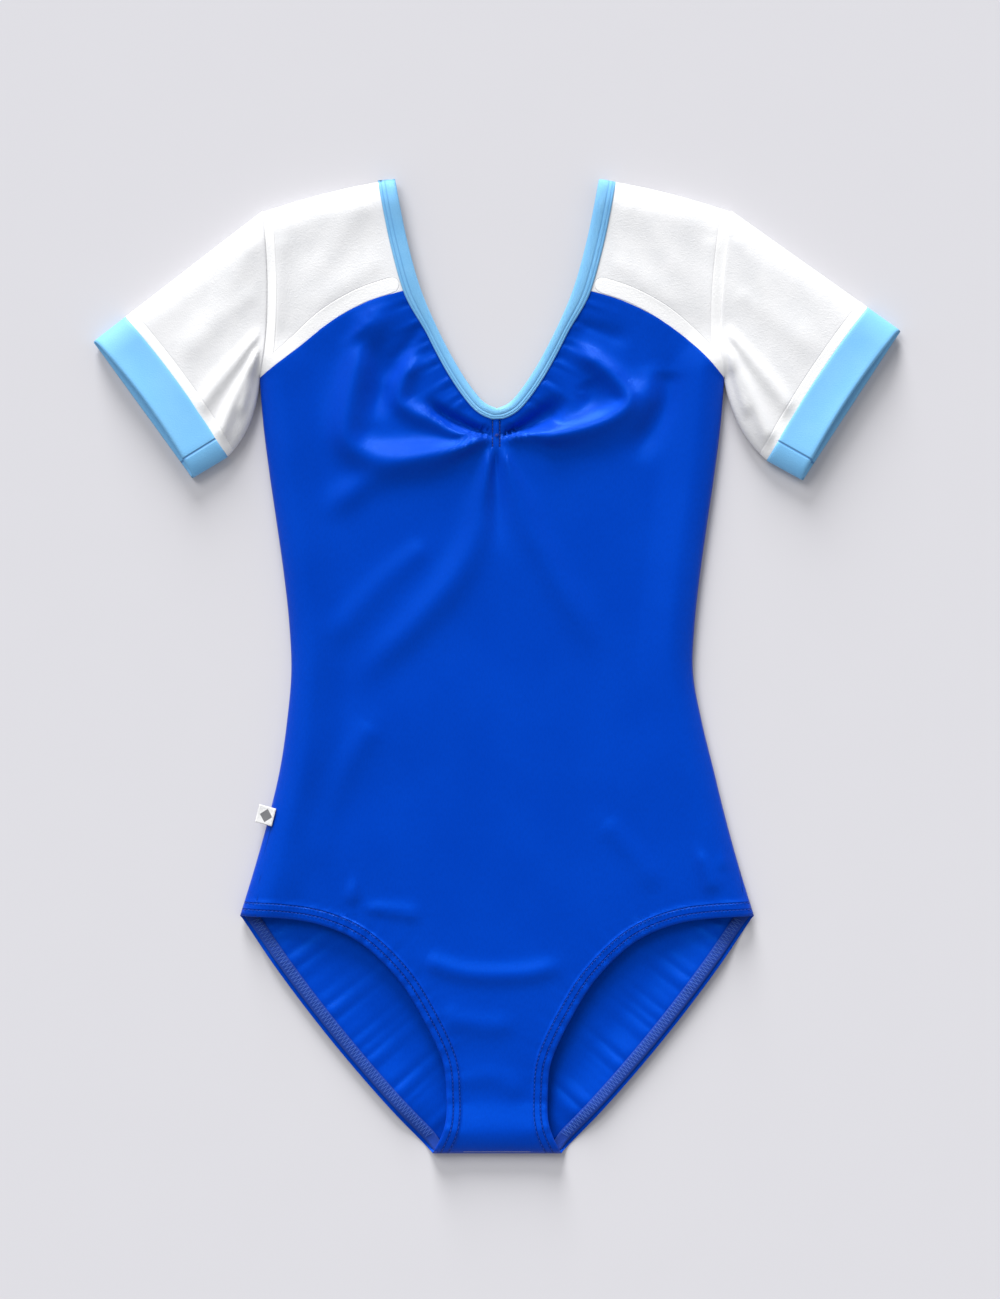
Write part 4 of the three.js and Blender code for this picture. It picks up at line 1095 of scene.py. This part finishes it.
# ---- Materials ----
class Graph:
    """A material's nodes. Sizes in its textures are per millimetre of cloth."""

    def __init__(self, name, color, roughness, sheen=0.0, sheen_tint=(1, 1, 1), specular=0.5,
                 specular_tint=(1, 1, 1)):
        self.material = bpy.data.materials.new(name)
        self.material.use_nodes = True
        self.tree = self.material.node_tree
        self.shader = next(n for n in self.tree.nodes if n.type == "BSDF_PRINCIPLED")
        for key, value in {"Base Color": (*color, 1), "Roughness": roughness, "Sheen Weight": sheen,
                           "Sheen Tint": (*sheen_tint, 1), "Specular IOR Level": specular,
                           "Specular Tint": (*specular_tint, 1)}.items():
            self.shader.inputs[key].default_value = value
        self.material.diffuse_color = (*color, 1)

    def node(self, kind, inputs=(), **settings):
        n = self.tree.nodes.new(kind)
        for key, value in settings.items():
            setattr(n, key, value)
        for key, value in dict(inputs).items():
            self.feed(n.inputs[key], value)
        return n

    def feed(self, socket, value):
        if isinstance(value, bpy.types.NodeSocket):
            self.tree.links.new(value, socket)
        else:
            socket.default_value = value

    def math(self, operation, a, b=0.0, clamp=False):
        return self.node("ShaderNodeMath", {0: a, 1: b}, operation=operation, use_clamp=clamp).outputs[0]

    def times(self, a, b):
        return self.math("MULTIPLY", a, b)

    def plus(self, a, b, clamp=False):
        return self.math("ADD", a, b, clamp)

    def less(self, a, b):
        return self.math("SUBTRACT", a, b)

    def apart(self, a, b):
        return self.math("ABSOLUTE", self.less(a, b))

    def mark(self, name):
        return self.node("ShaderNodeAttribute", attribute_name=name).outputs["Fac"]

    def cloth(self, stretch=(1, 1)):
        where = self.node("ShaderNodeAttribute", attribute_name="cloth").outputs["Vector"]
        return self.node("ShaderNodeVectorMath", {0: where, 1: (*stretch, 1)},
                         operation="MULTIPLY").outputs[0]

    def noise(self, scale, detail=2.0, stretch=(1, 1), rough=0.5):
        return self.node("ShaderNodeTexNoise",
                         {"Vector": self.cloth(stretch), "Scale": scale, "Detail": detail,
                                                "Roughness": rough}).outputs["Fac"]

    def wave(self, scale, direction="X", distortion=0.0):
        return self.node("ShaderNodeTexWave",
                         {"Vector": self.cloth(), "Scale": scale, "Distortion": distortion},
                         bands_direction=direction).outputs["Fac"]

    def cells(self, scale):
        return self.node("ShaderNodeTexVoronoi", {"Vector": self.cloth(), "Scale": scale}).outputs["Distance"]

    def ramp(self, value, low, high, to_low=0.0, to_high=1.0):
        return self.node("ShaderNodeMapRange",
                         {"Value": value, "From Min": low, "From Max": high, "To Min": to_low,
                                                "To Max": to_high},
                                                interpolation_type="SMOOTHSTEP").outputs[0]

    def line(self, mark, at, half):
        """1 on a line a given distance from a seam, and 0 away from it."""
        return self.ramp(self.apart(mark, at), 0.0, half, 1.0, 0.0)

    def blend(self, share, a, b):
        """Colour a where share is 0, and b where it is 1."""
        a, b = (c if isinstance(c, bpy.types.NodeSocket) else (*c, 1) for c in (a, b))
        return self.node("ShaderNodeMix", {0: share, 6: a, 7: b}, data_type="RGBA").outputs[2]

    def finish(self, color, height=None, depth=0.1, roughness=None):
        """The material, with its colour and with bumps that are depth millimetres high."""
        self.feed(self.shader.inputs["Base Color"], color)
        if roughness is not None:
            self.feed(self.shader.inputs["Roughness"], roughness)
        if height is not None:
            bump = self.node("ShaderNodeBump", {"Height": height, "Strength": 1.0, "Distance": depth * MM})
            self.feed(self.shader.inputs["Normal"], bump.outputs["Normal"])
        return self.material


def srgb(red, green, blue):
    return tuple(((c / 255 + 0.055) / 1.055) ** 2.4 if c > 10.3 else c / 3295 for c in (red, green, blue))


ROYAL, ROYAL_LIGHT = srgb(1, 58, 180), srgb(1, 68, 198)
# the darkest blue is painted shade, for the satin's stitched grooves and seam line
ROYAL_DEEP, ROYAL_GROOVE_SHADE = srgb(1, 48, 160), srgb(0, 16, 84)
SKY, SKY_DEEP, SKY_LIGHT = srgb(118, 186, 234), srgb(100, 168, 222), srgb(134, 196, 238)
POWER_MESH, MESH_SHADE, DOUBLED_MESH = srgb(242, 242, 243), srgb(230, 231, 233), srgb(255, 255, 255)
MESH_ALPHA = 0.78
PERIWINKLE, LAVENDER = srgb(10, 58, 166), srgb(80, 128, 226)
WHITE, GREY, PAPER = srgb(240, 240, 240), srgb(74, 76, 82), srgb(206, 205, 209)


def royal_satin():
    """Blue satin tricot: fine ribs, stitch grooves at the hems, the pinch and the side wraps with painted
    shade in them, and crimped hems."""
    g = Graph("royal_satin", ROYAL, 0.4, sheen=0.05, sheen_tint=srgb(40, 110, 255), specular=0.9,
              specular_tint=srgb(10, 130, 255))
    broad, fine = g.noise(0.018, 3), g.noise(0.9, 3, stretch=(1, 0.35))
    color = g.blend(g.times(g.ramp(broad, 0.3, 0.7), 0.25), ROYAL, ROYAL_LIGHT)
    color = g.blend(g.times(g.ramp(fine, 0.35, 0.7), 0.3), color, ROYAL_DEEP)
    hem = g.mark("hem")
    lines = g.plus(*(g.line(hem, row, 0.9) for row in HEM_STITCHES))
    where = g.node("ShaderNodeSeparateXYZ", {0: g.cloth()})
    x, y = where.outputs[0], where.outputs[1]
    held = g.ramp(g.apart(y, PINCH[1] + 1.5), 9.2, 10.2, 1.0, 0.0)
    pinch = g.plus(*(g.line(x, PINCH[0] + row, 0.8) for row in PINCH_ROWS))
    lines = g.plus(lines, g.times(pinch, held), clamp=True)
    lines = g.plus(lines, g.times(g.line(g.mark("wrap"), 0.0, 0.8), 0.7), clamp=True)
    # painted shade: the stitched grooves and the wrap seam's line are darkened to a near-black blue
    color = g.blend(g.times(lines, 0.75), color, ROYAL_GROOVE_SHADE)
    ribs = g.wave(5.2, "X", 0.6)
    knit = g.plus(g.times(ribs, 0.18), g.times(fine, 0.35))
    crimp = g.times(g.noise(0.42, 2), g.ramp(hem, 3, 16, 0.9, 0.0))
    height = g.less(g.plus(knit, crimp), g.times(lines, 1.5))
    return g.finish(color, height, 0.22, g.ramp(broad, 0.3, 0.7, 0.36, 0.42))


def sky_cloth(name, broad_size, broad_range, broad_share, fine_share):
    """Light blue tricot: its graph, its colour and its fine speckle."""
    g = Graph(name, SKY, 0.5, sheen=0.2, sheen_tint=srgb(200, 230, 255), specular=0.35)
    fine, broad = g.noise(1.1, 3), g.noise(broad_size, 2)
    color = g.blend(g.times(g.ramp(broad, *broad_range), broad_share), SKY, SKY_LIGHT)
    return g, g.blend(g.times(g.ramp(fine, 0.4, 0.7), fine_share), color, SKY_DEEP), fine


def sky_tricot():
    """The binding, with its two rows of stitches pressed in."""
    g, color, fine = sky_cloth("sky_binding", 0.06, (0.35, 0.65), 0.4, 0.3)
    hem = g.mark("hem")
    rows = g.plus(*(g.line(hem, share * NECK_BAND, 0.8) for share in NECK_STITCHES), clamp=True)
    color = g.blend(g.times(rows, 0.5), color, srgb(70, 134, 200))
    height = g.plus(g.times(g.wave(4.2, "X", 0.8), 0.25), g.times(fine, 0.5))
    height = g.less(height, g.times(rows, 0.8))
    return g.finish(color, height, 0.2)


def sky_cuff():
    """The cuffs, with the seam that joins their ends."""
    g, color, fine = sky_cloth("sky_cuff", 0.05, (0.3, 0.7), 0.3, 0.2)
    join = g.line(g.mark("join"), 0.0, 1.3)
    color = g.blend(g.times(join, 0.8), color, srgb(70, 128, 190))
    height = g.less(g.times(fine, 0.6), g.times(join, 2.2))
    return g.finish(color, height, 0.25)


def power_mesh():
    """White see-through mesh, whiter where an allowance lies under it."""
    g = Graph("white_mesh", POWER_MESH, 0.62, sheen=0.25, specular=0.3)
    holes, mottle = g.cells(1.2), g.noise(0.055, 4, rough=0.6)
    color = g.blend(g.times(g.ramp(mottle, 0.35, 0.68), 0.5), POWER_MESH, MESH_SHADE)
    color = g.blend(g.times(g.ramp(holes, 0.0, 0.4, 1.0, 0.0), 0.14), color, srgb(206, 208, 212))
    doubled = g.plus(*(g.ramp(g.mark(m), ALLOWANCE - 0.5, ALLOWANCE + 0.5, 1.0, 0.0)
                              for m in ("seam", "armhole")), clamp=True)
    color = g.blend(g.times(doubled, 0.9), color, DOUBLED_MESH)
    edge = g.line(g.math("MINIMUM", g.mark("seam"), g.mark("armhole")), ALLOWANCE, 0.8)
    height = g.plus(g.times(holes, 0.35), g.times(g.noise(0.5, 3), 0.5))
    height = g.plus(height, g.times(g.less(doubled, edge), 0.8))
    g.shader.inputs["Alpha"].default_value = MESH_ALPHA
    return g.finish(color, height, 0.25)


def lining_cloth(name, color, scale):
    g = Graph(name, color, 0.85, sheen=0.15, specular=0.2)
    fine = g.noise(scale, 3)
    tint = g.blend(g.ramp(fine, 0.35, 0.7), color, tuple(c * 0.86 for c in color))
    return g.finish(tint, g.plus(g.wave(3.0, "X", 1.0), fine), 0.12)


def elastic_band(name, color, thread, sheen=0.2):
    g = Graph(name, color, 0.75, sheen=sheen, specular=0.25)
    ribs, fine = g.wave(0.55, "Y"), g.noise(1.4, 2)
    tint = g.blend(g.times(g.ramp(ribs, 0.3, 0.9), 0.45), color, thread)
    tint = g.blend(g.times(fine, 0.3), tint, tuple(c * 0.8 for c in color))
    return g.finish(tint, g.plus(ribs, fine), 0.25)


def overlock(name, color, thread):
    """Cloth edge wrapped in thread: slanting loops across the allowance, and a dense row at its edge."""
    g = Graph(name, color, 0.72, sheen=0.2, specular=0.25)
    loops = g.node("ShaderNodeTexWave", {"Vector": g.cloth((1, 0.35)), "Scale": 0.5, "Distortion": 0.8},
                   bands_direction="DIAGONAL").outputs["Fac"]
    fine = g.noise(1.5, 2)
    tint = g.blend(g.times(g.ramp(loops, 0.25, 0.85), 0.7), color, thread)
    return g.finish(tint, g.plus(loops, g.times(fine, 0.5)), 0.35)


def thread(name, color, sheen=0.3):
    g = Graph(name, color, 0.55, sheen=sheen, specular=0.4)
    twist = g.node("ShaderNodeTexWave", {"Vector": g.cloth(), "Scale": 2.4}, bands_direction="DIAGONAL")
    tint = g.blend(g.times(twist.outputs["Fac"], 0.35), color, tuple(c * 0.7 for c in color))
    return g.finish(tint, twist.outputs["Fac"], 0.08)


def label_satin():
    """White ribbon printed with a plain dark diamond."""
    g = Graph("label_satin", WHITE, 0.42, sheen=0.1, specular=0.5)
    where = g.node("ShaderNodeSeparateXYZ", {0: g.cloth()})
    out, along = where.outputs[0], where.outputs[1]
    far = g.plus(g.apart(out, 7.2), g.apart(along, 0.0))
    mark = g.ramp(far, 4.6, 5.0, 1.0, 0.0)
    weave = g.wave(2.6, "Y")
    color = g.blend(g.times(weave, 0.12), WHITE, srgb(214, 214, 216))
    color = g.blend(g.times(mark, 0.85), color, GREY)
    return g.finish(color, g.plus(weave, g.noise(1.2, 2)), 0.06)


def floor_paper():
    g = Graph("backdrop_paper", PAPER, 0.9, specular=0.1)
    return g.finish(g.blend(g.noise(0.02, 2), PAPER, srgb(205, 204, 208)))


# ---- The garment ----
MATERIALS = {
    "royal_satin": royal_satin(),
    "sky_binding": sky_tricot(),
    "sky_cuff": sky_cuff(),
    "white_mesh": power_mesh(),
    "lining": lining_cloth("lining", srgb(226, 226, 226), 0.8),
    "cotton_lining": lining_cloth("cotton_lining", srgb(230, 228, 220), 1.1),
    "white_elastic": elastic_band("white_elastic", srgb(232, 232, 232), WHITE),
    "blue_elastic": elastic_band("blue_elastic", PERIWINKLE, srgb(64, 112, 214), 0.04),
    "blue_overlock": overlock("blue_overlock", srgb(20, 66, 190), srgb(30, 90, 220)),
    "white_overlock": overlock("white_overlock", srgb(246, 247, 250), srgb(255, 255, 255)),
    "label_satin": label_satin(),
    "blue_thread": thread("blue_thread", srgb(3, 70, 200), 0.03),
    "lavender_thread": thread("lavender_thread", LAVENDER, 0.05),
    "sky_thread": thread("sky_thread", srgb(62, 128, 196)),
    "dark_thread": thread("dark_thread", srgb(4, 34, 120)),
    "white_thread": thread("white_thread", srgb(236, 238, 242)),
}


def stand_for(obj, node):
    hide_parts(node)
    return obj


def trim(obj):
    return obj


def build_garment():
    m, made = MATERIALS, {}
    for layer in ("front", "back"):
        made[f"{layer}_panel"] = panel(layer, m["royal_satin"])
    made["front_lining"] = front_lining(m["lining"])
    made["gusset_lining"] = gusset_lining(m["cotton_lining"])
    made["neck_binding"] = neck_binding(m["sky_binding"])
    made["neck_elastic"] = neck_elastic(m["white_elastic"])
    made["pinch_tape"] = pinch_tape(m["white_elastic"])
    made["side_label"] = side_label(m["label_satin"])
    for name, side in SIDES.items():
        cut, arm = TORSO[name], SLEEVE[name]
        white, blue = m["white_overlock"], m["blue_overlock"]
        made[f"{name}_front_yoke"] = yoke("front", name, m["white_mesh"])
        made[f"{name}_back_yoke"] = yoke("back", name, m["white_mesh"])
        made[f"{name}_sleeve"] = sleeve(name, m["white_mesh"])
        made[f"{name}_cuff"] = cuff(name, m["sky_cuff"])
        made[f"{name}_leg_elastic"] = leg_elastic(name, m["blue_elastic"])
        made[f"{name}_side_seam"] = fin(f"{name}_side_allowance", cut["side_seam"], ALLOWANCE, ALLOWANCE + 4,
                                        -side, blue, "torso")
        made[f"{name}_shoulder_seam"] = fin(f"{name}_shoulder_allowance", cut["shoulder"], NECK_BAND,
                                            ALLOWANCE,
                                            -side, white, "torso")
        made[f"{name}_underarm_seam"] = fin(f"{name}_underarm_allowance", arm["bottom"], 3, ALLOWANCE + 2,
                                            side,
                                            white, f"{name}_arm")
        made[f"{name}_armhole_seam"] = armhole_seam(name, white)
        made[f"{name}_cuff_seam"] = cuff_seam(name, white)
        for layer in ("front", "back"):
            made[f"{name}_{layer}_yoke_seam"] = yoke_allowance(layer, name, white)
    for node, obj in made.items():
        stand_for(obj, node)
    threads = {
        "legs": trim(leg_stitches(m["blue_thread"])),
        "zigzag": trim(leg_zigzag(m["lavender_thread"])),
        "neck": trim(neck_stitches(m["sky_thread"])),
        "pinch": trim(pinch_stitches(m["dark_thread"])),
        "label": trim(label_stitches(m["white_thread"])),
        **{f"{n}_cuff": trim(cuff_stitches(n, m["white_thread"])) for n in SIDES},
    }
    return made, threads


# Flat cuts before sewing, in metres: (width, length, area or None, held).
FLAT = {
    "front_panel": (0.359, 0.601, 0.144, "laid"),
    "back_panel": (0.359, 0.605, 0.150, "laid"),
    "front_lining": (0.302, 0.297, 0.068, "stretched"),
    "gusset_lining": (0.051, 0.142, None, "folded"),
    "neck_binding": (0.024, 0.93, None, "folded"),
    "side_label": (0.0126, 0.028, None, "folded"),
    "front_yoke": (0.095, 0.135, 0.0084, "laid"),
    "back_yoke": (0.095, 0.135, 0.0084, "laid"),
    "left_sleeve": (0.24, 0.13, 0.0210, "laid"),
    "right_sleeve": (0.248, 0.13, 0.0210, "laid"),
    "cuff": (0.036, 0.238, None, "folded"),
}


def declare_sheets(made, threads):
    on = {"front_panel": ["pinch_tape", threads["legs"], threads["pinch"], "left_side_seam",
                          "right_side_seam"],
          "back_panel": ["left_leg_elastic", "right_leg_elastic", threads["zigzag"]],
          "neck_binding": ["neck_elastic", threads["neck"]], "side_label": [threads["label"]]}
    for n in SIDES:
        on[f"{n}_front_yoke"] = [f"{n}_front_yoke_seam", f"{n}_shoulder_seam", f"{n}_armhole_seam"]
        on[f"{n}_back_yoke"] = [f"{n}_back_yoke_seam"]
        on[f"{n}_sleeve"] = [f"{n}_underarm_seam", f"{n}_cuff_seam", threads[f"{n}_cuff"]]
    for node, obj in made.items():
        key = node if node in FLAT else node.split("_", 1)[-1]
        if key not in FLAT:
            continue
        pieces = [made[p] if isinstance(p, str) else p for p in on.get(node, [])]
        rests = ["floor"] if "back" in node or "sleeve" in node or "cuff" in node else []


# ---- Floor, light and camera ----
FLOOR_HALF = 3.0  # metres


def floor():
    mesh = bpy.data.meshes.new("floor")
    corners = [(x * FLOOR_HALF, y * FLOOR_HALF, 0) for x, y in ((-1, -1), (1, -1), (1, 1), (-1, 1))]
    mesh.from_pydata(corners, [], [(0, 1, 2, 3)])
    layer = mesh.attributes.new("cloth", "FLOAT_VECTOR", "POINT")
    layer.data.foreach_set("vector", [v for p in mesh.vertices for v in p.co / MM])
    mesh.materials.append(floor_paper())
    obj = bpy.data.objects.new("floor", mesh)
    bpy.context.scene.collection.objects.link(obj)


def soft_light(name, place, spread, strength):
    """Even light that falls from place towards the origin. Its source is spread degrees across."""
    data = bpy.data.lights.new(name, "SUN")
    data.angle, data.energy = math.radians(spread), strength
    obj = bpy.data.objects.new(name, data)
    obj.location = place
    obj.rotation_euler = (-Vector(place)).to_track_quat("-Z", "Y").to_euler()
    bpy.context.scene.collection.objects.link(obj)


CAMERA_X, CAMERA_Y, CAMERA_HEIGHT, CAMERA_LENS = 2.1, 11.9, 2147, 85


def studio():
    world = bpy.data.worlds.new("studio")
    world.use_nodes = True
    background = next(n for n in world.node_tree.nodes if n.type == "BACKGROUND")
    background.inputs["Color"].default_value = (0.96, 0.97, 1.0, 1)
    background.inputs["Strength"].default_value = 0.48
    bpy.context.scene.world = world
    soft_light("key", (-0.55, 0.75, 0.9), 30, 1.35)
    soft_light("low_key", (-0.16, 1.0, 0.3), 24, 5.0)
    camera = bpy.data.objects.new("camera", bpy.data.cameras.new("camera"))
    camera.data.lens = CAMERA_LENS
    camera.location = (CAMERA_X * MM, CAMERA_Y * MM, CAMERA_HEIGHT * MM)
    bpy.context.scene.collection.objects.link(camera)
    bpy.context.scene.camera = camera
    bpy.context.scene.view_settings.view_transform = "Standard"


made_pieces, thread_pieces = build_garment()
declare_sheets(made_pieces, thread_pieces)
floor()
studio()
